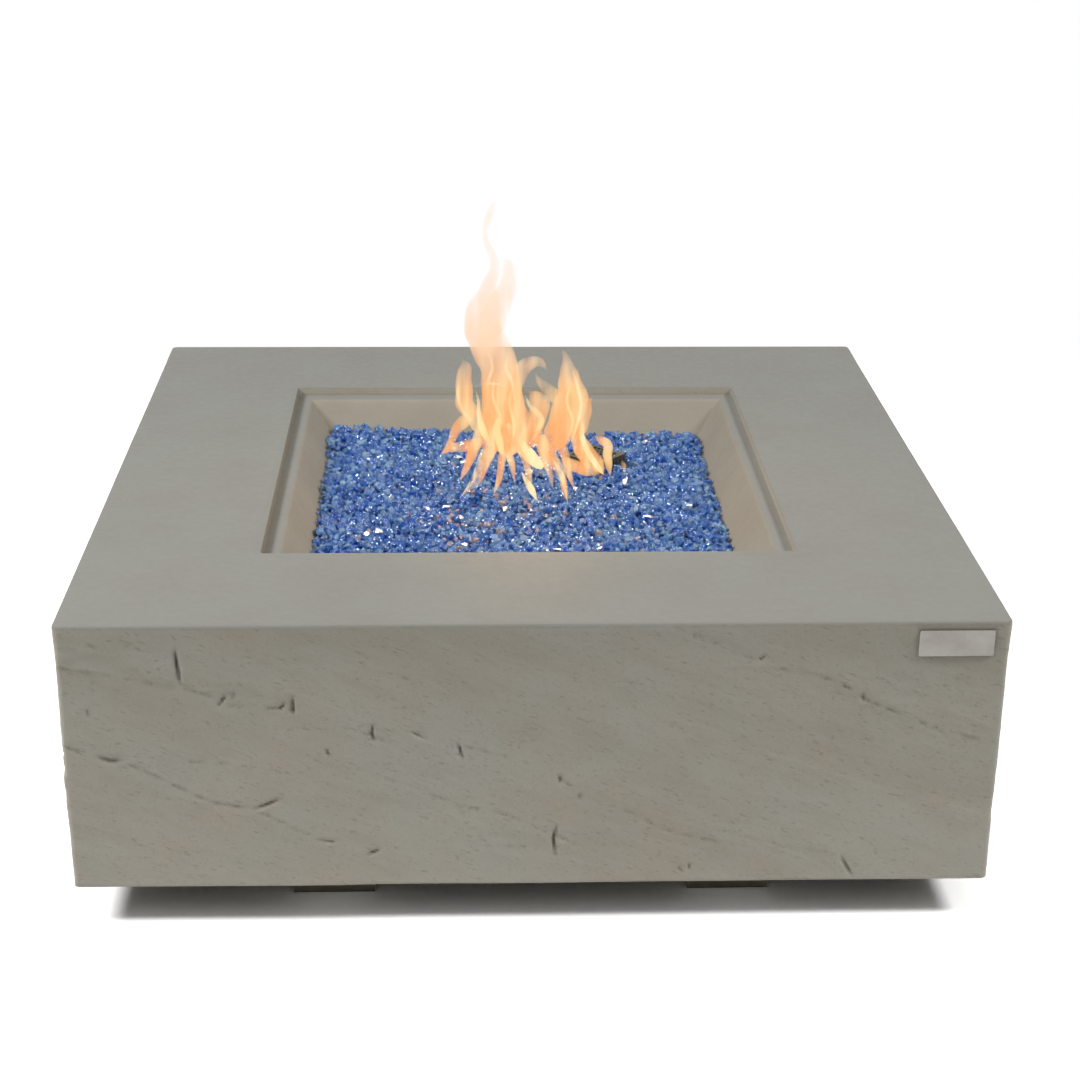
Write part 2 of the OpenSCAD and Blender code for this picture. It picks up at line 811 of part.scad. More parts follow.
module rail(sx) {
    inner = rail_w / 2 - rail_t;
    profile = [
        [-rail_w / 2, 0], [rail_w / 2, 0], [rail_w / 2, rail_h], [inner, rail_h],
        [inner, rail_t], [-inner, rail_t], [-inner, rail_h], [-rail_w / 2, rail_h]
    ];
    color(zinc) translate([sx * foot_x, 0, foot_h]) difference() {
        rotate([90, 0, 0]) linear_extrude(rail_len, center = true) polygon(profile);
        for (s = [-1, 1]) {
            translate([0, s * foot_y, -over]) cylinder(d = foot_bolt_d + 2 * fit, h = rail_t + 2 * over);
            for (x = [-1, 1])
                translate([x * bolt_pitch / 2, s * rail_bolt_y, -over])
                    cylinder(d = rail_bolt_d + 2 * fit, h = rail_t + 2 * over);
        }
    }
}

module cleat(sx, sy) {
    profile = [
        [0, 0], [cleat_leg, 0], [cleat_leg, cleat_leg], [cleat_leg - cleat_t, cleat_leg],
        [cleat_leg - cleat_t, cleat_t], [0, cleat_t]
    ];
    color(zinc) at_corner(sx, sy) difference() {
        translate([foot_x, inner_half - cleat_leg, rail_top])
            rotate([90, 0, 90]) linear_extrude(cleat_w, center = true) polygon(profile);
        for (x = [-1, 1]) {
            translate([foot_x + x * bolt_pitch / 2, rail_bolt_y, rail_top - over])
                cylinder(d = rail_bolt_d + 2 * fit, h = cleat_t + 2 * over);
            to_rear(foot_x + x * bolt_pitch / 2, wall_bolt_y - over, wall_bolt_z)
                cylinder(d = wall_bolt_d + 2 * fit, h = cleat_t + 2 * over);
        }
    }
}

module foot_bolts() {
    length = foot_h - foot_recess + rail_t + nut_share * foot_bolt_d + bolt_end;
    color(zinc) at_corners() translate([foot_x, foot_y, foot_recess]) rotate([180, 0, 0])
        hex_bolt(foot_bolt_d, length);
}

module foot_nuts() {
    color(zinc) at_corners() translate([foot_x, foot_y, rail_top])
        hex_nut(foot_bolt_d, head_af * foot_bolt_d, nut_share * foot_bolt_d);
}

module rail_bolts() {
    length = cleat_t + rail_t + nut_share * rail_bolt_d + bolt_end;
    color(zinc) at_corners() for (x = [-1, 1])
        translate([foot_x + x * bolt_pitch / 2, rail_bolt_y, rail_top + cleat_t])
            hex_bolt(rail_bolt_d, length);
}

module rail_nuts() {
    height = nut_share * rail_bolt_d;
    color(zinc) at_corners() for (x = [-1, 1])
        translate([foot_x + x * bolt_pitch / 2, rail_bolt_y, foot_h - height])
            hex_nut(rail_bolt_d, head_af * rail_bolt_d, height);
}

module wall_bolts() {
    color(zinc) at_corners() for (x = [-1, 1])
        to_front(foot_x + x * bolt_pitch / 2, wall_bolt_y, wall_bolt_z)
            hex_bolt(wall_bolt_d, cleat_t + insert_len - bolt_end);
}

module wall_inserts() {
    color(brass) at_corners() for (x = [-1, 1])
        to_rear(foot_x + x * bolt_pitch / 2, inner_half, wall_bolt_z)
            bush(wall_insert_d, wall_bolt_d + 2 * fit, insert_len);
}

// Bowl fittings

module bowl_inserts() {
    color(brass) on_axes(plate_screw_at) translate([0, 0, floor_z - insert_len])
        bush(bowl_insert_d, bowl_screw_d + 2 * fit, insert_len);
}

module shield_inserts() {
    color(brass) on_axes(shield_screw_at) translate([0, 0, floor_under])
        bush(bowl_insert_d, bowl_screw_d + 2 * fit, insert_len);
}

module drain_bushes() {
    color(brass) at_corners() translate([drain_at, drain_at, 0]) difference() {
        union() {
            translate([0, 0, floor_z - drain_flange_t]) cylinder(d = drain_flange_d, h = drain_flange_t);
            translate([0, 0, floor_under - drain_below])
                cylinder(d = drain_d, h = bowl_t + drain_below - drain_flange_t / 2);
        }
        translate([0, 0, floor_under - drain_below - over])
            cylinder(d = drain_d - 2 * drain_wall, h = bowl_t + drain_below + 2 * over);
    }
}

module burner_plate() {
    depth = burner_plate_t + 2 * over;
    color(stainless) difference() {
        translate([0, 0, floor_z]) linear_extrude(burner_plate_t)
            round_plan(burner_plate_w, burner_plate_w, plate_screw_in / 2);
        translate([0, 0, floor_z - over]) cylinder(d = stem_pipe_d + 2 * fit, h = depth);
        translate([guard_x, guard_y, floor_z - over]) cylinder(d = lead_hole_d, h = depth);
        on_axes(plate_screw_at) translate([0, 0, floor_z - over])
            cylinder(d = bowl_screw_d + 2 * fit, h = depth);
        at_guard_screws(floor_z - over) cylinder(d = guard_screw_d + 2 * fit, h = depth);
    }
}

module plate_screws() {
    color(zinc) on_axes(plate_screw_at) translate([0, 0, plate_top])
        pan_screw(bowl_screw_d, 2 * bowl_screw_d, burner_plate_t + insert_len - bolt_end);
}

module burner_ring() {
    inner_d = ring_tube_d - 2 * tube_wall;
    stem_bore = stem_pipe_d - 2 * stem_wall;
    color(stainless) difference() {
        union() {
            translate([0, 0, ring_z]) rotate_extrude() translate([ring_d / 2, 0]) circle(d = ring_tube_d);
            translate([-ring_d / 2, 0, ring_z]) rotate([0, 90, 0]) cylinder(d = cross_d, h = ring_d);
            translate([0, 0, plate_top]) cylinder(d = hub_d, h = hub_top - plate_top);
            translate([0, 0, stem_end]) cylinder(d = stem_pipe_d, h = ring_z - stem_end);
        }
        translate([0, 0, ring_z]) rotate_extrude() translate([ring_d / 2, 0]) circle(d = inner_d);
        translate([-ring_d / 2, 0, ring_z]) rotate([0, 90, 0])
            cylinder(d = cross_d - 2 * tube_wall, h = ring_d);
        translate([0, 0, stem_end - over]) cylinder(d = stem_bore, h = ring_z - stem_end + over);
        for (k = [0 : port_count - 1])
            rotate(360 * (k + 0.5) / port_count) translate([ring_d / 2, 0, ring_z])
                cylinder(d = port_d, h = ring_tube_d);
    }
}

module burner_locknut() {
    color(brass) translate([0, 0, floor_z - nut_h])
        hex_nut(stem_pipe_d, stem_pipe_d + 3 * nut_wall, nut_h);
}

// Igniter

// Staggered field of six-sided holes through z, w wide and h high
module hole_field(w, h, depth) {
    row_h = hole_pitch * sin(60);
    rows = floor(h / row_h);
    cols = floor(w / hole_pitch);
    for (r = [0 : rows - 1], c = [0 : cols - 1 - r % 2])
        translate([(c - (cols - 1 - r % 2) / 2) * hole_pitch, (r - (rows - 1) / 2) * row_h, 0])
            rotate(30) hexagon(hole_pitch - hole_web, depth);
}

module igniter_guard() {
    height = guard_top - plate_top;
    margin = hole_pitch;
    field_h = height / 2;
    color(stainless) at_guard(plate_top) difference() {
        union() {
            slab(guard_w, guard_d, height);
            slab(guard_w + 2 * guard_tab, 2 * guard_tab, guard_t);
        }
        translate([0, 0, -over]) slab(guard_w - 2 * guard_t, guard_d - 2 * guard_t, height - guard_t + over);
        translate([0, 0, height - guard_t - over])
            hole_field(guard_w - margin, guard_d - margin, guard_t + 2 * over);
        translate([0, guard_d / 2 + over, height - margin / 2 - field_h / 2]) rotate([90, 0, 0])
            hole_field(guard_w - margin, field_h, guard_d + 2 * over);
        translate([-guard_w / 2 - over, 0, height - margin / 2 - field_h / 2]) rotate([90, 0, 90])
            hole_field(guard_d - margin, field_h, guard_w + 2 * over);
        for (s = [-1, 1]) translate([s * guard_screw_x, 0, -over])
            cylinder(d = guard_screw_d + 2 * fit, h = guard_t + 2 * over);
    }
}

module guard_screws() {
    color(zinc) at_guard_screws(plate_top + guard_t)
        pan_screw(guard_screw_d, 2 * guard_screw_d, guard_t + burner_plate_t + guard_screw_len / 2);
}

module igniter_bracket() {
    profile = [
        [-shelf_front, shelf_z], [shelf_back - shelf_t, shelf_z], [shelf_back - shelf_t, plate_top],
        [shelf_back + shelf_tab, plate_top], [shelf_back + shelf_tab, plate_top + shelf_t],
        [shelf_back, plate_top + shelf_t], [shelf_back, shelf_top], [-shelf_front, shelf_top]
    ];
    color(stainless) difference() {
        at_guard(0) rotate([90, 0, 90]) linear_extrude(shelf_w, center = true) polygon(profile);
        translate([electrode_x, electrode_y, shelf_z - over])
            cylinder(d = electrode_d + 2 * fit, h = shelf_t + 2 * over);
        translate([sensor_x, sensor_y, shelf_z - over])
            cylinder(d = sensor_d + 2 * fit, h = shelf_t + 2 * over);
    }
}

module spark_electrode() {
    bend_z = electrode_top + electrode_tip_up;
    color(ceramic) translate([electrode_x, electrode_y, 0]) rotate(guard_turn) {
        translate([0, 0, probe_foot]) cylinder(d = electrode_d, h = electrode_top - probe_foot);
        translate([0, 0, shelf_top]) cylinder(d = electrode_d + 2 * collar_wall, h = collar_t);
        translate([0, 0, electrode_top - over]) cylinder(d = electrode_tip_d, h = electrode_tip_up + over);
        translate([0, 0, bend_z]) sphere(d = electrode_tip_d);
        translate([0, 0, bend_z]) rotate([0, -90, 0]) cylinder(d = electrode_tip_d, h = electrode_tip_in);
    }
}

module flame_sensor() {
    nut_af = sensor_d + 4;
    color(brass) translate([sensor_x, sensor_y, 0]) rotate(guard_turn) {
        translate([0, 0, probe_foot]) cylinder(d = sensor_d, h = sensor_top - sensor_d / 2 - probe_foot);
        translate([0, 0, sensor_top - sensor_d / 2]) sphere(d = sensor_d);
        translate([0, 0, shelf_top]) hexagon(nut_af, sensor_nut_h);
    }
}

module electrode_lead() {
    color(black_plastic) tube_along(rounded(electrode_route, lead_bend_r, 4), electrode_lead_d, 8);
}

module sensor_lead() {
    color(brass) tube_along(rounded(sensor_route, lead_bend_r, 4), sensor_lead_d, 8);
}

// Gas line

module air_mixer() {
    color(zinc) difference() {
        translate([0, 0, mixer_foot]) cylinder(d = mixer_d, h = mixer_len);
        translate([0, 0, mixer_top - mixer_socket])
            cylinder(d = stem_pipe_d + 2 * fit, h = mixer_socket + over);
        translate([0, 0, mixer_foot - over]) cylinder(d = throat_d, h = mixer_len);
        for (turn = [0, 90])
            translate([0, 0, mixer_foot + jet_spigot + air_hole_d]) rotate([90, 0, turn])
                cylinder(d = air_hole_d, h = mixer_d + 2 * over, center = true);
    }
}

module jet_fitting() {
    color(brass) difference() {
        union() {
            translate([0, 0, jet_foot]) hexagon(jet_hex_af, jet_hex_h);
            translate([0, 0, mixer_foot - over]) cylinder(d = throat_d - 2 * fit, h = jet_spigot + over);
        }
        translate([0, 0, jet_foot - over]) cylinder(d = jet_bore, h = jet_hex_h + jet_spigot + 2 * over);
    }
}

module gas_tube() {
    color(stainless) tube_along(rounded(gas_route, gas_bend_r, 8), gas_tube_d, 12);
}

module tube_nuts() {
    color(brass) {
        translate([0, 0, jet_foot - tube_nut_h]) hex_nut(gas_tube_d, tube_nut_af, tube_nut_h);
        to_front(knob_x, outlet_y, control_z) hex_nut(gas_tube_d, tube_nut_af, tube_nut_h);
    }
}

// Heat shield

module heat_shield() {
    inner = shield_w - 2 * shield_t;
    depth = shield_t + shield_lip;
    color(stainless) translate([0, 0, floor_under - shield_gap - depth]) difference() {
        slab(shield_w, shield_w, depth);
        translate([0, 0, -over]) slab(inner, inner, shield_lip + over);
        translate([0, 0, shield_lip - over]) cylinder(d = burner_hole_d, h = shield_t + 2 * over);
        translate([guard_x, guard_y, shield_lip - over])
            cylinder(d = igniter_hole_d, h = shield_t + 2 * over);
        on_axes(shield_screw_at) translate([0, 0, shield_lip - over])
            cylinder(d = bowl_screw_d + 2 * fit, h = shield_t + 2 * over);
    }
}

module shield_spacers() {
    color(zinc) on_axes(shield_screw_at) translate([0, 0, floor_under - shield_gap])
        bush(2 * bowl_screw_d, bowl_screw_d + 2 * fit, shield_gap);
}

module shield_screws() {
    length = shield_t + shield_gap + insert_len - bolt_end;
    color(zinc) on_axes(shield_screw_at)
        translate([0, 0, floor_under - shield_gap - shield_t]) rotate([180, 0, 0])
            pan_screw(bowl_screw_d, 2 * bowl_screw_d, length);
}

// Control panel

module control_tray() {
    color(stainless) difference() {
        union() {
            to_rear(0, half - tray_t, control_z) linear_extrude(tray_t)
                round_plan(tray_w + 2 * tray_rim, tray_h + 2 * tray_rim, tray_corner_r);
            to_rear(0, panel_back, control_z)
                linear_extrude(tray_d + tray_t / 2) square([tray_w, tray_h], center = true);
        }
        to_rear(0, panel_y, control_z) linear_extrude(tray_d + over)
            square([tray_w - 2 * tray_t, tray_h - 2 * tray_t], center = true);
        to_rear(knob_x, panel_back - over, control_z)
            cylinder(d = stem_d + 4 * gap, h = tray_t + 2 * over);
        to_rear(button_x, panel_back - over, control_z)
            cylinder(d = barrel_d + 2 * fit, h = tray_t + 2 * over);
        for (s = [-1, 1]) to_rear(knob_x + s * valve_screw_x, panel_back - over, control_z)
            cylinder(d = valve_screw_d + 2 * fit, h = tray_t + 2 * over);
        for (x = [-1, 1], z = [-1, 1])
            to_rear(x * tray_screw_x, half - tray_t, control_z + z * tray_screw_z)
                cylinder(d1 = tray_screw_d + 2 * fit, d2 = tray_screw_head + 2 * fit, h = tray_t);
    }
}

module tray_screws() {
    color(zinc) for (x = [-1, 1], z = [-1, 1])
        to_rear(x * tray_screw_x, half - tray_t, control_z + z * tray_screw_z) {
            cylinder(d1 = tray_screw_d, d2 = tray_screw_head, h = tray_t);
            translate([0, 0, tray_t - tray_screw_len])
                cylinder(d = tray_screw_d, h = tray_screw_len - tray_t / 2);
        }
}

module gas_valve() {
    color(zinc) difference() {
        union() {
            to_rear(knob_x, panel_back - valve_len, control_z) cylinder(d = valve_d, h = valve_len);
            to_rear(knob_x, panel_back - valve_flange_t, control_z) linear_extrude(valve_flange_t)
                round_plan(valve_flange_w, valve_flange_h, valve_flange_t);
            to_rear(knob_x, outlet_y, control_z) cylinder(d = outlet_boss_d, h = outlet_boss_h + over);
            translate([knob_x, inlet_boss_y, inlet_boss_z])
                cylinder(d = inlet_boss_d, h = control_z - inlet_boss_z);
            translate([knob_x, inlet_boss_y, control_z]) rotate([0, 90, 0])
                cylinder(d = sensor_boss_d, h = sensor_boss_x - knob_x);
        }
        to_rear(knob_x, panel_back + plug_foot - gap, control_z)
            cylinder(d = plug_d + 2 * run_fit, h = over - plug_foot + gap);
        for (s = [-1, 1])
            to_rear(knob_x + s * valve_screw_x, panel_back - valve_flange_t - over, control_z)
                cylinder(d = valve_screw_d + 2 * fit, h = valve_flange_t + 2 * over);
    }
}

module valve_screws() {
    color(zinc) for (s = [-1, 1]) to_rear(knob_x + s * valve_screw_x, panel_y, control_z)
        pan_screw(valve_screw_d, valve_screw_head, tray_t + valve_flange_t + bolt_end);
}

module valve_bonnet() {
    color(brass) to_rear(knob_x, panel_back - bonnet_h, control_z)
        bush(plug_d, stem_d + 2 * run_fit, bonnet_h);
}

module valve_plug() {
    color(brass) to_rear(knob_x, panel_back, control_z) difference() {
        translate([0, 0, plug_foot]) cylinder(d = plug_d, h = plug_len);
        translate([0, 0, plug_top - spring_seat]) cylinder(d = spring_bore_d, h = spring_seat + over);
        translate([0, 0, slot_foot]) slab(stem_d, tang_t + 2 * gap, plug_top - slot_foot);
    }
}

module valve_stem() {
    color(zinc) to_rear(knob_x, panel_back, control_z) {
        translate([0, 0, stem_collar_z]) cylinder(d = stem_d, h = stem_top - stem_collar_z);
        translate([0, 0, stem_collar_z]) cylinder(d = stem_collar_d, h = stem_collar_t);
        translate([0, 0, tang_foot])
            slab(stem_d - 2 * gap, tang_t, stem_collar_z - tang_foot + stem_collar_t / 2);
    }
}

module stem_spring() {
    foot = plug_top - spring_seat;
    mean = spring_bore_d - stem_spring_wire - 2 * gap;
    color(zinc) to_rear(knob_x, panel_back, control_z) translate([0, 0, foot + gap])
        coil(mean, stem_spring_wire, stem_collar_z - foot - 2 * gap, stem_spring_turns);
}

module control_knob() {
    color(black_plastic) to_rear(knob_x, panel_y + knob_gap, control_z) difference() {
        union() {
            cylinder(d = knob_d, h = knob_skirt_h);
            difference() {
                cylinder(d = knob_grip_d, h = knob_h);
                for (k = [0 : knob_flutes - 1]) rotate(360 * (k + 0.5) / knob_flutes)
                    translate([knob_grip_d / 2 + knob_flute_d / 4, 0, knob_skirt_h])
                        cylinder(d = knob_flute_d, h = knob_h);
            }
            translate([0, -knob_grip_d / 4, knob_h]) slab(pointer_w, knob_grip_d / 3, pointer_h);
        }
        translate([0, 0, -over]) cylinder(d = stem_d + 2 * run_fit, h = knob_bore + over);
    }
}

module inlet_fitting() {
    thread_top = inlet_boss_z - inlet_hex_h;
    thread_foot = thread_top - inlet_len;
    color(brass) translate([knob_x, inlet_boss_y, 0]) difference() {
        union() {
            translate([0, 0, thread_top]) hexagon(inlet_hex_af, inlet_hex_h);
            translate([0, 0, thread_foot]) cylinder(d = inlet_d, h = inlet_len + over);
            translate([0, 0, thread_foot - flare_h])
                cylinder(d1 = inlet_d - 2 * flare_h - over, d2 = inlet_d - over, h = flare_h);
        }
        translate([0, 0, thread_foot - flare_h - over])
            cylinder(d = inlet_bore, h = flare_h + inlet_len + inlet_hex_h + 2 * over);
    }
}

module igniter_barrel() {
    color(black_plastic) to_rear(button_x, panel_y, control_z) difference() {
        union() {
            cylinder(d = bezel_d, h = bezel_h);
            translate([0, 0, barrel_foot]) cylinder(d = barrel_d, h = bezel_h / 2 - barrel_foot);
            translate([0, 0, barrel_foot - terminal_h]) cylinder(d = terminal_d, h = terminal_h + over);
        }
        translate([0, 0, shoulder_z]) cylinder(d = button_d + 2 * run_fit, h = bezel_h - shoulder_z + over);
        translate([0, 0, battery_foot]) cylinder(d = battery_hole_d, h = shoulder_z - battery_foot + over);
    }
}

module igniter_nut() {
    color(zinc) to_rear(button_x, panel_back - igniter_nut_h, control_z)
        hex_nut(barrel_d, igniter_nut_af, igniter_nut_h);
}

module igniter_button() {
    r = button_d / 2;
    color(black_plastic) to_rear(button_x, panel_y + button_foot, control_z) rotate_extrude() {
        square([r, button_len - button_round]);
        square([r - button_round, button_len]);
        translate([r - button_round, button_len - button_round]) circle(button_round);
    }
}

module button_spring() {
    mean = (battery_hole_d + button_d) / 2;
    color(zinc) to_rear(button_x, panel_y + shoulder_z + gap, control_z)
        coil(mean, button_spring_wire, button_spring_len - 2 * gap, button_spring_turns);
}

module battery() {
    body = battery_len - battery_nub_h;
    color(glass_blue) to_rear(button_x, panel_y + battery_foot, control_z) {
        cylinder(d = battery_d, h = body);
        cylinder(d = battery_nub_d, h = battery_len);
    }
}

body_shell();
blank_plate();
fire_glass();
foot(-1, -1);  // foot_front_left
foot(1, -1);  // foot_front_right
foot(-1, 1);  // foot_rear_left
foot(1, 1);  // foot_rear_right
rail(-1);  // rail_left
rail(1);  // rail_right
cleat(-1, -1);  // cleat_front_left
cleat(1, -1);  // cleat_front_right
cleat(-1, 1);  // cleat_rear_left
cleat(1, 1);  // cleat_rear_right
foot_bolts();
foot_nuts();
rail_bolts();
rail_nuts();
wall_bolts();
wall_inserts();
bowl_inserts();
shield_inserts();
drain_bushes();
burner_plate();
plate_screws();
burner_ring();
burner_locknut();
air_mixer();
jet_fitting();
gas_tube();
tube_nuts();
igniter_guard();
guard_screws();
igniter_bracket();
spark_electrode();
flame_sensor();
electrode_lead();
sensor_lead();
heat_shield();
shield_spacers();
shield_screws();
control_tray();
tray_screws();
gas_valve();
valve_screws();
valve_bonnet();
valve_plug();
valve_stem();
stem_spring();
control_knob();
inlet_fitting();
igniter_barrel();
igniter_nut();
igniter_button();
button_spring();
battery();
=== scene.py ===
"""Looks of a low, square cast-concrete fire pit table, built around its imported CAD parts."""

import json
import math

import bmesh
import bpy
import numpy as np
from mathutils import Matrix, Vector, noise


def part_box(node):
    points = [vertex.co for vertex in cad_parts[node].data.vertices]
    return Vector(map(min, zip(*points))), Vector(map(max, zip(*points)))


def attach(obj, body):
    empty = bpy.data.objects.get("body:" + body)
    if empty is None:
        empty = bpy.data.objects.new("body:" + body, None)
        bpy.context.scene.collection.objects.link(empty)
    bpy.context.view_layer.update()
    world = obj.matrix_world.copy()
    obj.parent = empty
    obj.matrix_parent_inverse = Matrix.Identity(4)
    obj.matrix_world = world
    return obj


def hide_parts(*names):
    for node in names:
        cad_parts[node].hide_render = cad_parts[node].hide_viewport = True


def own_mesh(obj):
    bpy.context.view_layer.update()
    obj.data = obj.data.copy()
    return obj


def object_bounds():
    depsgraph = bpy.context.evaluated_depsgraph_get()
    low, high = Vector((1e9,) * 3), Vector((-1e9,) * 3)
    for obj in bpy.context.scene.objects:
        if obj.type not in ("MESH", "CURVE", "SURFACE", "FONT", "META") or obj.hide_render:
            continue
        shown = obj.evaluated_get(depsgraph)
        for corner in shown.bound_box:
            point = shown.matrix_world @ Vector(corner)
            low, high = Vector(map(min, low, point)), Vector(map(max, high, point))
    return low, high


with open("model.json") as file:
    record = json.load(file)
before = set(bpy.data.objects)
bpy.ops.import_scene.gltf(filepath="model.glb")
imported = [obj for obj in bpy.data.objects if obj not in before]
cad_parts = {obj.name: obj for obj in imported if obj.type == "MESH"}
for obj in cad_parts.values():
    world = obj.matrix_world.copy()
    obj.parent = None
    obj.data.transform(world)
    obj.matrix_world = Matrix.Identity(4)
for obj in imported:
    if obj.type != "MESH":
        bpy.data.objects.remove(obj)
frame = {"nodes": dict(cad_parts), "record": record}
cad_low, cad_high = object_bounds()
nodes = frame["nodes"]

MM = 0.001
SEED = 5

# Camera of the photograph: place in metres, turn, tilt and roll in degrees, and millimetres of lens
CAMERA_PLACE = (-0.08454, -2.62754, 1.32738)
CAMERA_ANGLES = ((-2.387, "Z"), (90.0 - 21.975, "X"), (0.639, "Z"))
CAMERA_LENS = 69.37

# The cast body, in millimetres, as the CAD part has it
HALF = cad_high.x / MM
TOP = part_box("body_shell")[1].z / MM
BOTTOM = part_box("body_shell")[0].z / MM
WALL = 22.0
INNER_HALF = HALF - WALL
TOP_UNDER = TOP - 25.0
CORNER_R = 8.0
ARRIS = 3.0
ARRIS_STEPS = 3
FOOT_ARRIS = 1.5
FOOT_STEP = 0.3 * FOOT_ARRIS
REBATE_HALF = 321.0
LEDGE_Z = TOP - 12.0
HOPPER_HALF = 301.0
FLOOR_HALF = 236.0
FLOOR_Z = TOP - 110.0
BOWL_T = 22.0
BOWL_UNDER = FLOOR_Z - BOWL_T
BOWL_WALL_X = 26.4
BURNER_HOLE_R = 35.0
HOPPER_SLOPE = (HOPPER_HALF - FLOOR_HALF) / (LEDGE_Z - FLOOR_Z)

# Rings of the body's top, bowl and hollow: insets, half sizes, heights, or offset, corner radius and height
TOP_INSETS = (9.0, 30.0, 65.0, 105.0, 145.0, 180.0, 202.0)
REBATE_RINGS = ((2.0, 5.0, TOP), (0.6, 4.0, TOP - 0.6), (0.0, 3.5, TOP - 2.0), (0.0, 3.5, LEDGE_Z + 3.0),
                (-0.4, 3.2, LEDGE_Z + 0.8), (-2.0, 3.0, LEDGE_Z), (-7.0, 3.0, LEDGE_Z), (-11.0, 3.0, LEDGE_Z))
HOPPER_RINGS = ((1.5, 3.0, LEDGE_Z), (-0.3, 3.0, LEDGE_Z - 1.0))
HOPPER_HEIGHTS = (364.0, 357.0, 349.0, 340.0, 330.0, 318.0, 300.0, 285.0, 274.0)
FLOOR_HALVES = (170.0, 90.0)
BOWL_BACK_HEIGHTS = (BOWL_UNDER, 268.0, 290.0, 312.0, 334.0, TOP_UNDER)
TOP_BACK_HALVES = (350.0, 400.0, 450.0, INNER_HALF)
WALL_BACK_HEIGHTS = (320.0, 280.0, 240.0, 200.0, 160.0, 120.0, 85.0, BOTTOM)
FOOT_RING = (HALF - 0.4 * WALL, 6.0, BOTTOM)
BOWL_R = 3.0
HOLLOW_R = 4.0

# The hood over the igniter, which faces the middle of the burner
HOOD_LOW, HOOD_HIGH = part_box("igniter_guard")
HOOD_X = (HOOD_LOW.x + HOOD_HIGH.x) / 2 / MM
HOOD_Y = (HOOD_LOW.y + HOOD_HIGH.y) / 2 / MM
HOOD_HALF = 30.0
HOOD_TURN = math.atan2(HOOD_Y, HOOD_X) - math.pi / 2

# Grid of the body: one column in a few goes on inside, and a small square sets the lines of the round hole
FRONT_COLUMNS = 372
SIDE_COLUMNS = 168
CORNER_STEPS = 4
WALL_ROWS = 126
COLUMN_SHARE = 4
ROUND_HOLE_PLAN = (1.0, 0.1)

# Colour sockets of the Mix node
MIX_FIRST, MIX_SECOND, MIX_RESULT = 6, 7, 2

# The part of a noise's range that most of it lies in
NOISE_RANGE = (0.3, 0.7)


def srgb(red, green, blue):
    """A colour with parts from 0 to 255, as linear light."""
    parts = [v / 255 for v in (red, green, blue)]
    return tuple(v / 12.92 if v <= 0.04045 else ((v + 0.055) / 1.055) ** 2.4 for v in parts)


class Shader:
    """The nodes of a material or of the world, written as a chain of calls."""

    def __init__(self, owner, ending="OutputMaterial"):
        owner.use_nodes = True
        self.owner = owner
        self.tree = owner.node_tree
        self.tree.nodes.clear()
        self.out = self.tree.nodes.new("ShaderNode" + ending)

    def add(self, kind, inputs=None, output=0, **settings):
        """Makes a node with these fields and inputs, and returns one of its outputs."""
        node = self.tree.nodes.new("ShaderNode" + kind)
        for field_name, value in settings.items():
            setattr(node, field_name, value)
        for key, value in (inputs or {}).items():
            socket = node.inputs[key]
            if isinstance(value, bpy.types.NodeSocket):
                self.tree.links.new(value, socket)
            elif socket.type == "RGBA" and len(value) == 3:
                socket.default_value = (*value, 1.0)
            else:
                socket.default_value = value
        return node.outputs[output]

    def place(self):
        return self.add("TexCoord", output="Object")

    def stretched(self, vector, scale):
        return self.add("Mapping", {"Vector": vector, "Scale": scale})

    def axes(self, vector):
        """The x, y and z of a vector."""
        return self.add("SeparateXYZ", {0: vector}).node.outputs

    def noise(self, vector, scale, detail, rough):
        return self.add("TexNoise", {"Vector": vector, "Scale": scale, "Detail": detail, "Roughness": rough})

    def ramp(self, value, low, high, to_low=0.0, to_high=1.0):
        """Maps low..high to to_low..to_high and holds the ends."""
        return self.add("MapRange", {"Value": value, "From Min": low, "From Max": high, "To Min": to_low,
                                     "To Max": to_high})

    def mix(self, factor, first, second):
        inputs = {0: factor, MIX_FIRST: first, MIX_SECOND: second}
        return self.add("Mix", inputs, MIX_RESULT, data_type="RGBA")

    def tones(self, value, low, high, first, second):
        """One colour to another, each from 0 to 255, as a value rises from low to high."""
        return self.mix(self.ramp(value, low, high), srgb(*first), srgb(*second))

    def layer(self, colour, value, low, high, most, tone):
        """A colour with up to a share of a tone laid over it as a value rises from low to high."""
        return self.mix(self.ramp(value, low, high, 0.0, most), colour, srgb(*tone))

    def sums(self, operation, first, second):
        return self.add("Math", {0: first, 1: second}, operation=operation)

    def times(self, first, second):
        return self.sums("MULTIPLY", first, second)

    def value(self, name):
        return self.add("Attribute", output="Fac", attribute_name=name)

    def bump(self, height, distance, strength):
        return self.add("Bump", {"Height": height, "Distance": distance, "Strength": strength})

    def seen(self, *kinds):
        """One for rays of any of those kinds, and zero for the rest."""
        path = self.add("LightPath").node
        shown = path.outputs[f"Is {kinds[0]} Ray"]
        for kind in kinds[1:]:
            shown = self.sums("MAXIMUM", shown, path.outputs[f"Is {kind} Ray"])
        return shown

    def end(self, shader, socket="Surface"):
        """Ends the chain and returns the material or world."""
        self.tree.links.new(shader, self.out.inputs[socket])
        return self.owner

    def surface(self, inputs):
        """Ends the chain in a Principled surface."""
        return self.end(self.add("BsdfPrincipled", inputs, output="BSDF"))


def new_material(name):
    return Shader(bpy.data.materials.new(name))


def field(points, size, shift=0.0):
    """Smooth noise from about -1 to 1 at points, with lumps of about that size."""
    return np.array([noise.noise(Vector(p)) for p in points / size + shift])


def smooth(share):
    share = np.clip(share, 0.0, 1.0)
    return share * share * (3.0 - 2.0 * share)


def new_object(name, data):
    obj = bpy.data.objects.new(name, data)
    bpy.context.scene.collection.objects.link(obj)
    return obj


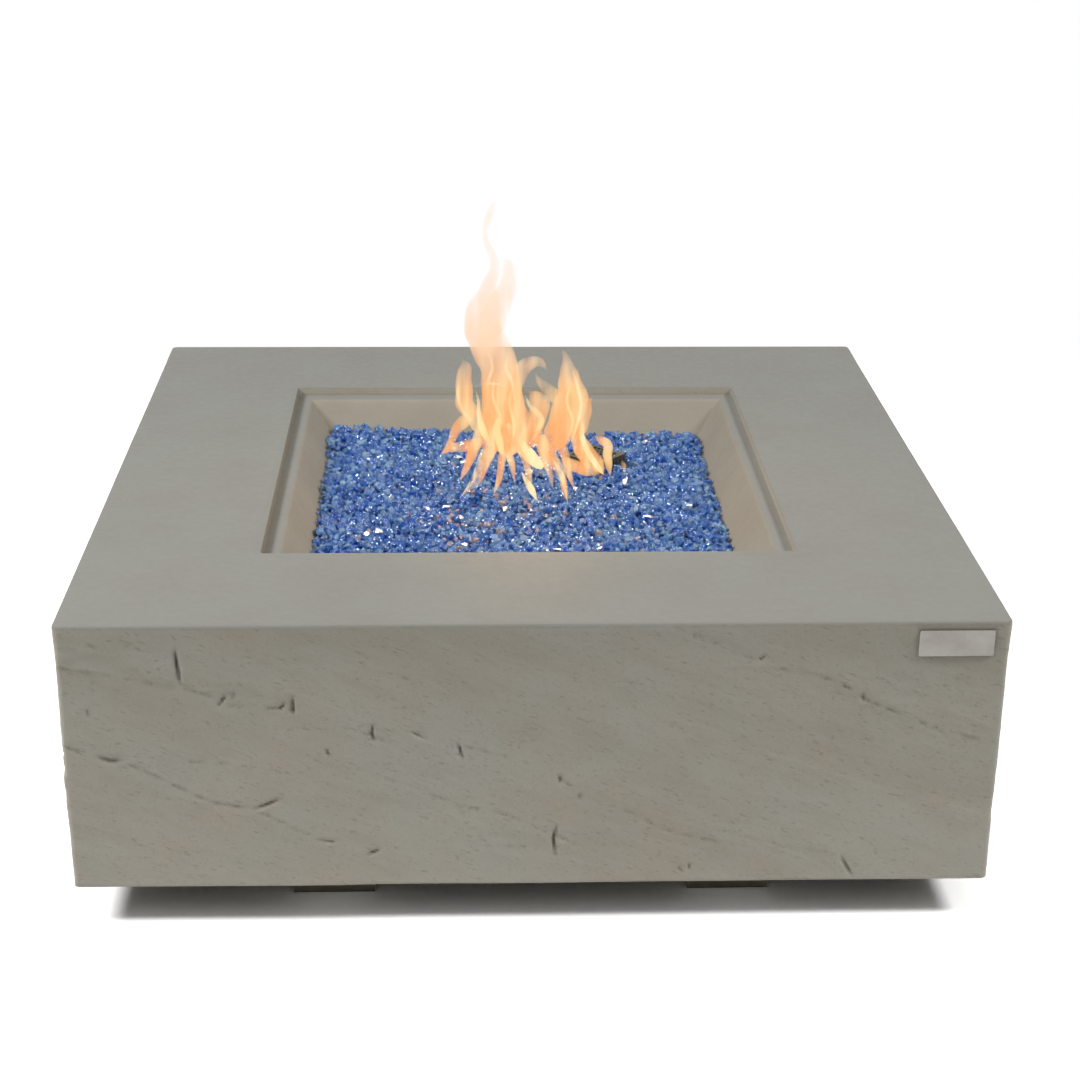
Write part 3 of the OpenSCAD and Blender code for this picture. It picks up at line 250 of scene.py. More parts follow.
def new_mesh(name, points, faces, material):
    """A mesh from points in millimetres."""
    mesh = bpy.data.meshes.new(name)
    mesh.from_pydata((np.array(points) * MM).tolist(), [], faces)
    mesh.materials.append(material)
    return mesh


def lofted(name, rings, material):
    """An object with a closed shape through rings of points in millimetres."""
    sides = len(rings[0])
    ids = np.arange(len(rings) * sides).reshape(-1, sides).tolist()
    faces = [ids[0], ids[-1][::-1]]
    for low, high in zip(ids, ids[1:]):
        faces += [(high[i - 1], high[i], low[i], low[i - 1]) for i in range(sides)]
    return new_object(name, new_mesh(name, np.concatenate(rings), faces, material))


def new_piece(name, mesh, node):
    """A mesh as a piece of the table that stands for a CAD node."""
    obj = new_object(name, mesh)
    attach(obj, "table")
    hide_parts(node)


# Marks on the stone faces, in millimetres: lines of places along a face from its middle and heights,
# then a crack's width and depth, a vein's strength or a ledge's drop
FRONT_CRACKS = [
    ([(-399, 354), (-398, 331), (-395, 311)], 2.2, 5.0),
    ([(-355, 283), (-345, 297)], 1.6, 3.5),
    ([(-337, 300), (-338, 290)], 1.5, 3.0),
    ([(-288, 277), (-280, 286)], 1.6, 3.5),
    ([(-272, 294), (-272, 271)], 2.0, 4.5),
    ([(-182, 259), (-185, 248), (-181, 237)], 1.8, 4.5),
    ([(-236, 228), (-232, 219)], 1.6, 3.5),
    ([(-500, 280), (-498, 268)], 1.4, 2.5),
    ([(-492, 221), (-479, 215), (-465, 217)], 3.0, 3.5),
    ([(-321, 152), (-307, 157), (-289, 166)], 1.9, 4.0),
    ([(-251, 111), (-228, 108)], 1.5, 2.5),
    ([(-193, 90), (-178, 97)], 1.9, 4.0),
    ([(-87, 233), (-82, 214)], 1.8, 4.5),
    ([(-141, 249), (-124, 240)], 1.5, 2.0),
    ([(30, 192), (28, 182)], 1.6, 3.5),
    ([(52, 168), (52, 161)], 1.6, 3.0),
    ([(26, 127), (22, 109), (25, 88)], 2.1, 5.0),
    ([(248, 334), (258, 342)], 1.4, 2.5),
    ([(359, 81), (366, 68), (373, 56)], 1.9, 4.0),
    ([(168, 71), (173, 63)], 1.4, 2.5),
    ([(180, 75), (181, 67)], 1.4, 2.5),
    ([(371, 291), (371, 284)], 1.8, 3.0),
    ([(174, 370), (177, 361)], 1.4, 2.5),
]
FRONT_VEINS = [
    ([(-533, 331), (-465, 320), (-412, 309), (-367, 297), (-345, 284), (-272, 278)], 1.0),
    ([(-533, 235), (-491, 221), (-441, 202), (-369, 161), (-321, 152)], 1.0),
    ([(-321, 152), (-268, 123), (-214, 98)], 0.7),
    ([(-216, 255), (-184, 244), (-141, 223)], 0.6),
    ([(-390, 213), (-342, 210), (-280, 198)], 0.5),
    ([(-178, 193), (-129, 173), (-84, 153), (-39, 143), (22, 115), (74, 89)], 0.8),
    ([(-78, 229), (6, 205), (29, 186), (97, 151), (147, 121), (213, 102)], 0.8),
    ([(-75, 100), (19, 100)], 0.5),
    ([(143, 379), (173, 371), (226, 343), (250, 335)], 0.8),
    ([(275, 325), (316, 317), (368, 292)], 1.0),
    ([(371, 285), (432, 258), (463, 245), (533, 228)], 1.0),
    ([(-533, 374), (-468, 348), (-445, 363)], 0.8),
    ([(205, 122), (290, 96), (350, 86)], 0.5),
]
# Ledges follow some of the veins: the stone stands out above such a line and steps back below it
FRONT_LEDGES = [
    (FRONT_VEINS[9][0] + FRONT_VEINS[10][0], 0.8),
    (FRONT_VEINS[1][0][:4], 0.9),
    (FRONT_VEINS[11][0][:2], -1.2),
    (FRONT_VEINS[0][0][:3], 0.8),
]

# Marks of the other faces: the slope of their lines, how many there are, and the ranges they are drawn from
SIDE_SLOPES = {1: -0.10, 2: 0.34, 3: 0.10}
SIDE_CRACKS = 15
SIDE_CRACK_X, SIDE_CRACK_Z = (-500, 490), (75, 360)
UPRIGHT_SHARE, UPRIGHT_LEAN, FLAT_LEAN = 0.6, (-0.5, 0.5), (1.2, 2.4)
SIDE_CRACK_LENGTH, SIDE_CRACK_BEND = (8, 34), (-2, 2)
SIDE_CRACK_WIDTH, SIDE_CRACK_DEPTH = (2.2, 3.2), (3.0, 5.0)
LINE_PARTS = 5
LEDGE_VEIN = 0.9
LEFT_CORNER_LEDGE = ([(533, 196), (470, 204), (390, 200)], -3.0)

# Veins and ledges: how many, where they start along and up, their length and sway, and their strength or drop
SIDE_VEINS = (9, (-520, 300), (90, 360), (120, 320), 7, (0.5, 1.0))
SIDE_LEDGES = (4, (-533, 200), (120, 340), (150, 330), 9, (0.8, 1.8))


def wander(draw, slope, count, across, up, length, sway, strength):
    """Lines across a face that sway about a slope, each with its strength."""
    lines = []
    for _ in range(count):
        ends = [(draw.uniform(*across), draw.uniform(*up))]
        step = draw.uniform(*length) / LINE_PARTS
        for _ in range(LINE_PARTS):
            x, z = ends[-1]
            ends.append((x + step, z + slope * step + draw.uniform(-sway, sway)))
        lines.append((ends, draw.uniform(*strength)))
    return lines


def side_marks(side):
    """Cracks, veins and ledges of one of the other faces, placed at random."""
    draw = np.random.default_rng(SEED + side)
    cracks = []
    for _ in range(SIDE_CRACKS):
        start = (draw.uniform(*SIDE_CRACK_X), draw.uniform(*SIDE_CRACK_Z))
        lean = draw.uniform(*(UPRIGHT_LEAN if draw.random() < UPRIGHT_SHARE else FLAT_LEAN))
        length = draw.uniform(*SIDE_CRACK_LENGTH)
        end = (start[0] + length * math.sin(lean), start[1] - length * math.cos(lean))
        middle = ((start[0] + end[0]) / 2 + draw.uniform(*SIDE_CRACK_BEND), (start[1] + end[1]) / 2)
        width, depth = draw.uniform(*SIDE_CRACK_WIDTH), draw.uniform(*SIDE_CRACK_DEPTH)
        cracks.append(([start, middle, end], width, depth))
    veins = wander(draw, SIDE_SLOPES[side], *SIDE_VEINS)
    ledges = wander(draw, SIDE_SLOPES[side], *SIDE_LEDGES)
    return cracks, veins + [(line, LEDGE_VEIN) for line, _ in ledges], ledges


MARKS = {0: (FRONT_CRACKS, FRONT_VEINS, FRONT_LEDGES), **{side: side_marks(side) for side in SIDE_SLOPES}}
MARKS[3][2].append(LEFT_CORNER_LEDGE)


def from_line(x, z, line):
    """How far points lie from a line of straight parts, how high above it, and where along it."""
    ends = np.array(line, float)
    steps = np.diff(ends, axis=0)
    lengths = np.hypot(*steps.T)
    off = np.column_stack([x, z])[:, None] - ends[:-1]
    share = np.clip((off * steps).sum(axis=2) / lengths ** 2, 0.0, 1.0)
    off -= share[:, :, None] * steps
    distance, above = np.hypot(off[..., 0], off[..., 1]), off[..., 1]
    along = (np.cumsum(lengths) - lengths + share * lengths) / lengths.sum()
    nearest = distance.argmin(axis=1)[:, None]
    return [np.take_along_axis(values, nearest, 1)[:, 0] for values in (distance, above, along)]


def on_face(points):
    """The face that each point belongs to, and its place along it."""
    x, y = points[:, 0], points[:, 1]
    side = np.select([(-y >= np.abs(x)), (x >= np.abs(y)), (y >= np.abs(x))], [0, 1, 2], 3)
    along = np.select([side == 0, side == 1, side == 2], [x, y, -x], -y)
    return side, along


# Relief of the stone faces, in millimetres; a noise has the size of its lumps and a shift that sets it apart
CRACK_SPREAD = 1.6
CRACK_END = 0.04
CRACK_TAPER = 0.7
CRACK_FULL = 5.0
BROKEN_NOISE, BROKEN_MIDDLE, BROKEN_GAIN = (15.0, 2.3), 0.42, 2.0
VEIN_WIDTH = 2.0
VEIN_DEPTH = 0.6
RUBBLE_NOISE, RUBBLE_DEPTH, RUBBLE_REACH = (8.0, 12.6), 1.2, 9.0
LEDGE_REACH_UP = 70.0
LEDGE_REACH_DOWN = 45.0
LEDGE_KEPT = 0.25
BED_SLOPE = 0.36
BED_SLOPE_BACK = 0.07
BED_T = 31.0
BED_EDGE = 4.0
BED_DEPTH = 0.9
BED_DRAWS = 256
BED_WAVE_NOISE, BED_WAVE = (230.0,), 16.0
BED_RIPPLE_NOISE, BED_RIPPLE = (55.0, 9.1), 4.0
BED_SHOWN_NOISE, BED_SHOWN_MIDDLE, BED_SHOWN_GAIN = (170.0, 3.7), 0.35, 1.5
SKIN = 1.5
SWELL_NOISE, SWELL = (170.0, 5.2), 1.3
GRAIN_NOISE, GRAIN = (9.0, 1.3), 0.16
COARSE_NOISE, COARSE = (26.0, 7.7), 1.4 * GRAIN
DEEPEST = 6.0
LEAST = 0.2
EDGE_FADE = 50.0
EDGE_KEPT, EDGE_LOST = 0.3, 0.7

# Plates that lie in flat seats on the stone, with the depth of each seat
SEATS = (("blank_plate", 2.0), ("control_tray", 1.5))
SEAT_FADE = 9.0


def marks_at(points):
    """Depth, crack and vein of the marks at points on the stone faces."""
    side, along = on_face(points)
    depth, crack, vein = np.zeros((3, len(points)))
    broken = smooth(BROKEN_MIDDLE + BROKEN_GAIN * field(points, *BROKEN_NOISE))
    lumps = field(points, *RUBBLE_NOISE)
    for face, (cracks, veins, ledges) in MARKS.items():
        here = np.flatnonzero(side == face)
        x, z = along[here], points[here, 2]
        for line, width, deep in cracks:
            distance, _, share = from_line(x, z, line)
            taper = np.sin(math.pi * np.clip(share, CRACK_END, 1.0 - CRACK_END)) ** CRACK_TAPER
            shape = np.clip(1.0 - distance / (CRACK_SPREAD * width), 0.0, 1.0) * taper
            depth[here] += deep * shape
            crack[here] = np.maximum(crack[here], shape * min(1.0, deep / CRACK_FULL))
        for line, strength in veins:
            distance, _, _ = from_line(x, z, line)
            shape = np.exp(-((distance / VEIN_WIDTH) ** 2)) * strength * broken[here]
            depth[here] += VEIN_DEPTH * shape
            zone = strength * np.exp(-((distance / RUBBLE_REACH) ** 2)) * broken[here]
            depth[here] += RUBBLE_DEPTH * zone * lumps[here]
            vein[here] = np.maximum(vein[here], shape)
        for line, drop in ledges:
            distance, above, _ = from_line(x, z, line)
            proud = -0.5 * drop * np.exp(-distance / LEDGE_REACH_UP) * smooth(0.5 + above / BED_EDGE)
            back = 0.5 * drop * np.exp(-distance / LEDGE_REACH_DOWN) * smooth(0.5 - above / BED_EDGE)
            depth[here] += (proud + back) * (LEDGE_KEPT + (1.0 - LEDGE_KEPT) * broken[here])
    return depth, crack, vein


def bedding(points):
    """Depth of the slanting beds of the stone, which end in low steps."""
    x, y, z = points.T
    level = z + BED_SLOPE * x + BED_SLOPE_BACK * y + BED_WAVE * field(points, *BED_WAVE_NOISE)
    level += BED_RIPPLE * field(points, *BED_RIPPLE_NOISE)
    layer = np.floor(level / BED_T).astype(int)
    draws = np.random.default_rng(SEED).random(BED_DRAWS)
    here, before = draws[layer % BED_DRAWS], draws[(layer - 1) % BED_DRAWS]
    step = smooth((level - layer * BED_T) / BED_EDGE)
    shown = np.clip(BED_SHOWN_MIDDLE + BED_SHOWN_GAIN * field(points, *BED_SHOWN_NOISE), 0.0, 1.0)
    return BED_DEPTH * (before + (here - before) * step) * shown


def outside(points, node):
    """How far points lie outside a plate on the stone, and whether they are on its side."""
    low, high = (np.array(corner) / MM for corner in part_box(node))
    off = np.abs(points - (low + high) / 2) - (high - low) / 2
    return np.maximum(off[:, 0], off[:, 2]), np.sign(points[:, 1]) == np.sign(low[1])


def stone_depth(points):
    """How far the stone lies inside the CAD body's faces, in millimetres."""
    marked, _, _ = marks_at(points)
    depth = SKIN + bedding(points) + marked + SWELL * field(points, *SWELL_NOISE)
    depth += GRAIN * field(points, *GRAIN_NOISE) + COARSE * field(points, *COARSE_NOISE)
    fade = EDGE_KEPT + EDGE_LOST * smooth((TOP - points[:, 2]) / EDGE_FADE)
    depth = np.clip(depth * fade, LEAST, DEEPEST)
    for node, seat_depth in SEATS:
        away, same_side = outside(points, node)
        depth += (seat_depth - depth) * np.where(same_side, 1.0 - smooth(away / SEAT_FADE), 0.0)
    return depth


def columns():
    """The grid's upright lines: side, place on it, corner angle, if all rows and if the inside have it."""
    lines = []
    for side in range(4):
        count = FRONT_COLUMNS if side == 0 else SIDE_COLUMNS
        for i in range(count + 1):
            lines.append((side, 2 * i / count - 1, 0.0, side == 0, i % COLUMN_SHARE == 0))
        for i in range(1, CORNER_STEPS):
            lines.append((side, 1.0, math.pi / 2 * i / CORNER_STEPS, side in (0, 3), True))
    return [np.array(values) for values in zip(*lines)]


def ring(plan, half, radius):
    """Plan points and outward directions of the grid lines on a rounded square."""
    side, along, angle = plan
    turn = np.exp(0.5j * math.pi * side)
    outward = -1j * np.exp(1j * angle) * turn
    points = (along - 1j) * (half - radius) * turn + radius * outward
    return [np.column_stack([values.real, values.imag]) for values in (points, outward)]


def wall_profile():
    """Rows of the outer wall, from the foot up: inset, height, and whether all columns have it."""
    rows = [(FOOT_ARRIS, BOTTOM, True), (FOOT_STEP, BOTTOM + FOOT_STEP, True)]
    low, high = BOTTOM + FOOT_ARRIS, TOP - ARRIS
    for i in range(WALL_ROWS + 1):
        rows.append((0.0, low + (high - low) * i / WALL_ROWS, i % 2 == 0))
    for i in range(1, ARRIS_STEPS + 1):
        angle = i / ARRIS_STEPS * math.pi / 2
        rows.append((ARRIS * (1 - math.cos(angle)), high + ARRIS * math.sin(angle), True))
    return rows


def hopper_half(z):
    return FLOOR_HALF + HOPPER_SLOPE * (z - FLOOR_Z)


def inner_profile():
    """Half size, radius and height of the rings from the top through bowl and hollow to the foot."""
    rings = [(HALF - inset, CORNER_R, TOP) for inset in TOP_INSETS]
    rings += [(REBATE_HALF + offset, radius, z) for offset, radius, z in REBATE_RINGS]
    rings += [(HOPPER_HALF + offset, radius, z) for offset, radius, z in HOPPER_RINGS]
    rings += [(hopper_half(z), BOWL_R, z) for z in HOPPER_HEIGHTS]
    rings += [(half, BOWL_R, FLOOR_Z) for half in (FLOOR_HALF, *FLOOR_HALVES)]
    rings += [(BURNER_HOLE_R, None, z) for z in (FLOOR_Z, BOWL_UNDER)]
    rings += [(half, BOWL_R, BOWL_UNDER) for half in FLOOR_HALVES[::-1]]
    rings += [(hopper_half(z) + BOWL_WALL_X, HOLLOW_R, z) for z in BOWL_BACK_HEIGHTS]
    rings += [(half, HOLLOW_R, TOP_UNDER) for half in TOP_BACK_HALVES]
    rings += [(INNER_HALF, HOLLOW_R, z) for z in WALL_BACK_HEIGHTS]
    return rings + [FOOT_RING]


def body_mesh():
    """The cast body as one closed mesh, with the relief of its faces, bowl and hollow underside."""
    *plan, full, inside = columns()
    count = len(full)
    outline, outward = ring(plan, HALF, CORNER_R)
    inset, height, every = (np.array(values) for values in zip(*wall_profile()))
    column, row = np.nonzero(full[:, None] | every)
    ids = np.full((count, len(every)), -1)
    ids[column, row] = np.arange(len(column))
    wall = np.column_stack([outline[column] - outward[column] * inset[row][:, None], height[row]])
    wall[:, :2] -= outward[column] * stone_depth(wall)[:, None]
    points, faces = wall.tolist(), []
    for left, right in zip(ids, np.roll(ids, -1, axis=0)):
        shared = np.flatnonzero((left >= 0) & (right >= 0))
        for low, high in zip(shared, shared[1:]):
            loop = np.concatenate([right[low:high + 1], left[low:high + 1][::-1]])
            faces.append(loop[loop >= 0].tolist())
    kept = np.flatnonzero(inside)
    kept_plan = [values[kept] for values in plan]

    def wall_ring(row):
        spans = zip(kept, [*kept[1:], count])
        return [ids[np.arange(start, end + 1) % count, row].tolist() for start, end in spans]

    rings = [wall_ring(-1)]
    for half, radius, z in inner_profile():
        if radius is None:
            square, _ = ring(kept_plan, *ROUND_HOLE_PLAN)
            places = half * square / np.linalg.norm(square, axis=1)[:, None]
        else:
            places, _ = ring(kept_plan, half, radius)
        starts = np.arange(len(points), len(points) + len(kept))
        rings.append(np.column_stack([starts, np.roll(starts, -1)]).tolist())
        points += [(x, y, z) for x, y in places]
    rings.append(wall_ring(0))
    for upper, lower in zip(rings, rings[1:]):
        faces += [above + below[::-1] for above, below in zip(upper, lower)]
    return new_mesh("uncut", points, faces, stone_material())


# The tray's opening in the rear wall and the holes of the bowl, in millimetres
TRAY_RIM = 16.0
TRAY_CUT_GAP = 0.3
HOLE_SIDES = 48
IGNITER_HOLE_R = 23.0
DRAIN_HOLE_R = 7.0
DRAIN_BUSH_R = 11.0


def body_cutter():
    """The tray's opening and the holes of the igniter and the drains, as one shape to cut with."""
    shape = bmesh.new()
    low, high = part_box("control_tray")
    rim = (TRAY_RIM - TRAY_CUT_GAP) * MM
    size = (high.x - low.x - 2 * rim, 3 * WALL * MM, high.z - low.z - 2 * rim)
    middle = Matrix.Translation(((low.x + high.x) / 2, HALF * MM, (low.z + high.z) / 2))
    bmesh.ops.create_cube(shape, size=1.0, matrix=middle @ Matrix.Diagonal((*size, 1.0)))
    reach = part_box("drain_bushes")[1].x - DRAIN_BUSH_R * MM
    spots = [(sx * reach, sy * reach, DRAIN_HOLE_R * MM) for sx in (-1, 1) for sy in (-1, 1)]
    spots.append((HOOD_X * MM, HOOD_Y * MM, IGNITER_HOLE_R * MM))
    for x, y, radius in spots:
        place = Matrix.Translation((x, y, (FLOOR_Z - BOWL_T / 2) * MM))
        bmesh.ops.create_cone(shape, cap_ends=True, segments=HOLE_SIDES, radius1=radius, radius2=radius,
                              depth=2 * BOWL_T * MM, matrix=place)
    mesh = bpy.data.meshes.new("cutter")
    shape.to_mesh(mesh)
    shape.free()
    return new_object("cutter", mesh)


def cut(mesh, cutter):
    """The mesh less the cutter, which is removed."""
    obj = new_object("uncut", mesh)
    modifier = obj.modifiers.new("cut", "BOOLEAN")
    modifier.operation = "DIFFERENCE"
    modifier.solver = "MANIFOLD"
    modifier.object = cutter
    result = bpy.data.meshes.new_from_object(obj.evaluated_get(bpy.context.evaluated_depsgraph_get()))
    bpy.data.objects.remove(obj)
    bpy.data.objects.remove(cutter)
    return result


def paint(mesh, name, values):
    """Stores one number per vertex under a name that a material can read."""
    mesh.attributes.new(name, "FLOAT", "POINT").data.foreach_set("value", values.astype(np.float32))


# Where the stone changes its looks, in millimetres, and how much of each look a place has
SHARP = math.radians(38)
WALL_SKIN = 9.0
SIDE_TO_Z = TOP - 1.6 * ARRIS
SIDE_FADE = 1.4 * ARRIS
REBATE_SKIN = 0.3
# Share of the upright faces' lighter tone on the rebate's walls: painted light on walls that lie in shade
REBATE_PAINTED_LIGHT = 0.6
EDGE_SLACK = 1.0
LEDGE_SLACK = 0.5
# Painted shade in the rebate's corner: its reach and fade, its share on the left, where the left lamp's
# shadow falls, and its share elsewhere
REBATE_SHADE_REACH = 10.0
REBATE_SHADE_FADE = 6.0
REBATE_SHADE_LEFT = 0.6
REBATE_SHADE_ELSEWHERE = 0.05
# Painted shadow round the front plate: its darkness and width
PLATE_SHADOW_DARK = 0.55
PLATE_SHADOW_WIDTH = 3.0


def plate_painted_shadow(points):
    """How much a point lies on the painted shadow, a thin dark line round the front plate."""
    away, same_side = outside(points, "blank_plate")
    shape = np.clip(1.0 - np.abs(away) / PLATE_SHADOW_WIDTH, 0.0, 1.0)
    return np.where(same_side, PLATE_SHADOW_DARK * shape, 0.0)


def rebate_painted_shade(points, out):
    """How much painted shade the stone gets in the corner of the rebate, most of all on the left."""
    in_corner = (out < REBATE_HALF + EDGE_SLACK) & (points[:, 2] > LEDGE_Z - LEDGE_SLACK)
    shape = np.where(in_corner, smooth((out - REBATE_HALF + REBATE_SHADE_REACH) / REBATE_SHADE_FADE), 0.0)
    left = -points[:, 0] > np.abs(points[:, 1])
    return shape * np.where(left, REBATE_SHADE_LEFT, REBATE_SHADE_ELSEWHERE)


def stone_body():
    mesh = cut(body_mesh(), body_cutter())
    points = np.array([vertex.co for vertex in mesh.vertices]) / MM
    height = points[:, 2]
    out = np.max(np.abs(points[:, :2]), axis=1)
    on_wall = out > HALF - WALL_SKIN
    crack, vein = np.zeros((2, len(points)))
    _, crack[on_wall], vein[on_wall] = marks_at(points[on_wall])
    # The painted shadow round the front plate goes into the crack values
    crack[on_wall] = np.maximum(crack[on_wall], plate_painted_shadow(points[on_wall]))
    side = np.where(on_wall, 1.0 - smooth((height - SIDE_TO_Z) / SIDE_FADE), 0.0)
    on_rebate = (np.abs(out - REBATE_HALF) < REBATE_SKIN) & (height > LEDGE_Z)
    in_bowl = (out < HOPPER_HALF + EDGE_SLACK) & (height < TOP)
    paint(mesh, "crack", crack)
    paint(mesh, "vein", vein)
    # The side value carries the painted light of the upright faces, and also of the rebate's walls
    paint(mesh, "side", np.where(on_rebate, REBATE_PAINTED_LIGHT, side))
    paint(mesh, "bowl", in_bowl)
    # Painted shade in the corner of the rebate
    paint(mesh, "rebate_shade", rebate_painted_shade(points, out))
    mesh.shade_smooth()
    mesh.set_sharp_from_angle(angle=SHARP)
    mesh.name = "cast_body"
    new_piece("cast_body", mesh, "body_shell")


# Noises of the stone: whether they follow its beds, scale, detail and roughness
STONE_NOISES = {
    "clouds": (False, 11.0, 4.0, 0.55),
    "broad": (False, 2.2, 3.0, 0.5),
    "blotch": (True, 7.0, 5.0, 0.6),
    "streaks": (True, 46.0, 6.0, 0.62),
    "fine": (True, 150.0, 5.0, 0.7),
    "pits": (False, 240.0, 3.0, 0.6),
    "flecks": (True, 330.0, 2.0, 0.5),
    "specks": (False, 620.0, 2.0, 0.6),
    "gloss": (False, 95.0, 4.0, 0.5),
    "coarse": (True, 170.0, 6.0, 0.5),
    "grain": (False, 900.0, 3.0, 0.5),
}
BEDS_LONG = 0.3

# Tones that the clouds mix: the range of the noise, then two colours
# The upright faces' tones are far lighter than the top's: painted light that makes up for the less light
# those faces get; their warmer hue is the stone's own
SIDE_TONES = (0.36, 0.64, (191, 189, 177), (193, 186, 172))
TOP_TONES = (0.36, 0.66, (146, 147, 141), (143, 142, 136))
BOWL_TONES = (0.35, 0.68, (164, 159, 146), (158, 152, 138))

# Tones laid over them: the range of the noise, the most that shows, and the colour
SIDE_LAYERS = {
    "blotch": (0.48, 0.70, 0.35, (174, 162, 142)),
    "streaks": (0.46, 0.74, 0.30, (168, 159, 140)),
    "fine": (0.54, 0.78, 0.25, (195, 190, 180)),
    "pits": (0.56, 0.74, 0.30, (158, 149, 131)),
    "flecks": (0.62, 0.72, 0.35, (132, 121, 100)),
}
TOP_LAYER = (0.4, 0.65, 0.5, (148, 146, 139))
SPECK_LAYER = (*NOISE_RANGE, 0.10, (112, 105, 93))
# Colour of the painted shade in the rebate's corner
REBATE_SHADE_TONE = srgb(104, 98, 80)
VEIN_TONE, VEIN_SHARE = srgb(118, 109, 92), 0.28
PITTED_TONE, PITTED_RAMP = srgb(98, 89, 72), (0.52, 0.66, 0.0, 0.4)
# The cracks' darker tone is painted shade in their depth, and it also paints the shadow round the front plate
CRACK_SHADE_TONE, CRACK_SHADE_SHARE = srgb(74, 66, 51), 0.75
STONE_ROUGH = (0.58, 0.74)
STONE_COARSE = 1.6
STONE_BUMP = (0.0006, 0.35)
STONE_SPECULAR = 0.32


def stone_material():
    """Cast concrete: greenish grey on top, warmer and streaked along its beds on the sides, which are painted
    lighter to make up for the less light they get.
    """
    s = new_material("cast_stone")
    place = s.place()
    x, y, z = s.axes(place)
    level = s.sums("ADD", z, s.sums("ADD", s.times(x, BED_SLOPE), s.times(y, BED_SLOPE_BACK)))
    beds = s.add("CombineXYZ", {0: s.times(x, BEDS_LONG), 1: s.times(y, BEDS_LONG), 2: level})
    noises = {name: s.noise(beds if bedded else place, *values)
              for name, (bedded, *values) in STONE_NOISES.items()}
    clouds = noises["clouds"]
    side = s.tones(clouds, *SIDE_TONES)
    for name, values in SIDE_LAYERS.items():
        side = s.layer(side, noises[name], *values)
    top = s.layer(s.tones(clouds, *TOP_TONES), noises["broad"], *TOP_LAYER)
    colour = s.mix(s.value("bowl"), top, s.tones(clouds, *BOWL_TONES))
    # Lighter stone of the upright faces and the rebate's walls: painted light
    colour = s.mix(s.value("side"), colour, side)
    # Painted shade in the rebate's corner
    colour = s.mix(s.value("rebate_shade"), colour, REBATE_SHADE_TONE)
    vein = s.value("vein")
    colour = s.mix(s.times(vein, VEIN_SHARE), colour, VEIN_TONE)
    colour = s.mix(s.times(vein, s.ramp(noises["pits"], *PITTED_RAMP)), colour, PITTED_TONE)
    # Painted shade in the cracks and the painted shadow round the front plate
    colour = s.mix(s.times(s.value("crack"), CRACK_SHADE_SHARE), colour, CRACK_SHADE_TONE)
    colour = s.layer(colour, noises["specks"], *SPECK_LAYER)
    relief = s.sums("ADD", noises["grain"], s.times(noises["coarse"], STONE_COARSE))
    return s.surface({"Base Color": colour, "Roughness": s.ramp(noises["gloss"], *NOISE_RANGE, *STONE_ROUGH),
                      "Specular IOR Level": STONE_SPECULAR, "Normal": s.bump(relief, *STONE_BUMP)})


# Fire glass, in millimetres; each noise has the size of its lumps and a shift that sets it apart
GLASS_HALF = 271.0
GLASS_EDGE = 326.0
GLASS_CROWN = 12.0
GLASS_LEAN = -0.017
GLASS_RISE = 0.015
HOOD_MOUND = 7.0
HOOD_MOUND_REACH = 45.0
LUMP_NOISE, LUMP_HIGH = (66.0, 4.4), 6.0
SMALL_LUMP_NOISE, SMALL_LUMP_HIGH = (22.0, 8.8), 0.6 * LUMP_HIGH
CHIP_KINDS = 28
CHIP_POINTS = 10
BLOCK_HALF = 0.34
BLOCK_WEAR = 0.16
SHARD_R = 0.5
CHIP_STRETCH = (0.7, 1.1)
CHIP_SPACING = 8.2
CHIP_LAYERS = 3
LAYER_STEP = 4.5
CHIP_DROP = 3.0
CHIP_LEAST = 5.0
CHIP_MOST = 13.0
WALL_GAP = 0.5
SLAB_CELL = 12.0
SLAB_DROP = 10.0
SLAB_T = 5.0
# Chips near the flame tinted pale amber: a painted reflection of the flame, its share, place and reach
FLAME_REFLECTION_SHARE = 0.10
FLAME_REFLECTION_PLACE = (-25.0, -110.0)
FLAME_REFLECTION_REACH = 130.0
MIRRORS = 32
MIRROR_SHAPE = (1.0, 0.75, 0.3)
MIRROR_LEAN = 0.4
MIRROR_HIGH = 4.0
SPLINTERS = 1200
SPLINTER_LEAST = 2.0
SPLINTER_MOST = 4.2
SPLINTER_HIGH = (-2.0, 4.5)
GREY_SHARE = 0.35
PALE_POWER = 1.6

# Tints of the glass; the fourth number is 1 for a mirror
DEEP_BLUE = np.array(srgb(44, 136, 244))
PALE_BLUE = np.array(srgb(194, 239, 255))
GREY_BLUE = np.array(srgb(132, 188, 230))
# Tint of the painted flame reflection
FLAME_REFLECTION_TINT = (*srgb(250, 214, 190), 0.0)
MIRROR_TINT = (*srgb(240, 243, 248), 1.0)
SPLINTER_TINT = (*srgb(190, 218, 255), 1.0)
SLAB_TINT = (*srgb(54, 122, 230), 0.0)


def glass_level(x, y):
    """Height of the glass bed, with lumps, in millimetres."""
    crown = (1.0 - (x / GLASS_HALF) ** 2) * (1.0 - (y / GLASS_HALF) ** 2)
    points = np.column_stack([x, y, np.zeros(len(x))])
    lumps = LUMP_HIGH * field(points, *LUMP_NOISE) + SMALL_LUMP_HIGH * field(points, *SMALL_LUMP_NOISE)
    from_hood = np.hypot(x - HOOD_X, y - HOOD_Y) / HOOD_MOUND_REACH
    mound = HOOD_MOUND * np.exp(-0.5 * from_hood ** 2)
    return GLASS_EDGE + GLASS_CROWN * crown + GLASS_LEAN * x + GLASS_RISE * y + lumps + mound


def clear_of_hood(x, y, reach):
    """Whether points lie outside the hood's turned square by that reach."""
    off = (x - HOOD_X + 1j * (y - HOOD_Y)) * np.exp(-1j * HOOD_TURN)
    return np.maximum(np.abs(off.real), np.abs(off.imag)) > HOOD_HALF + reach


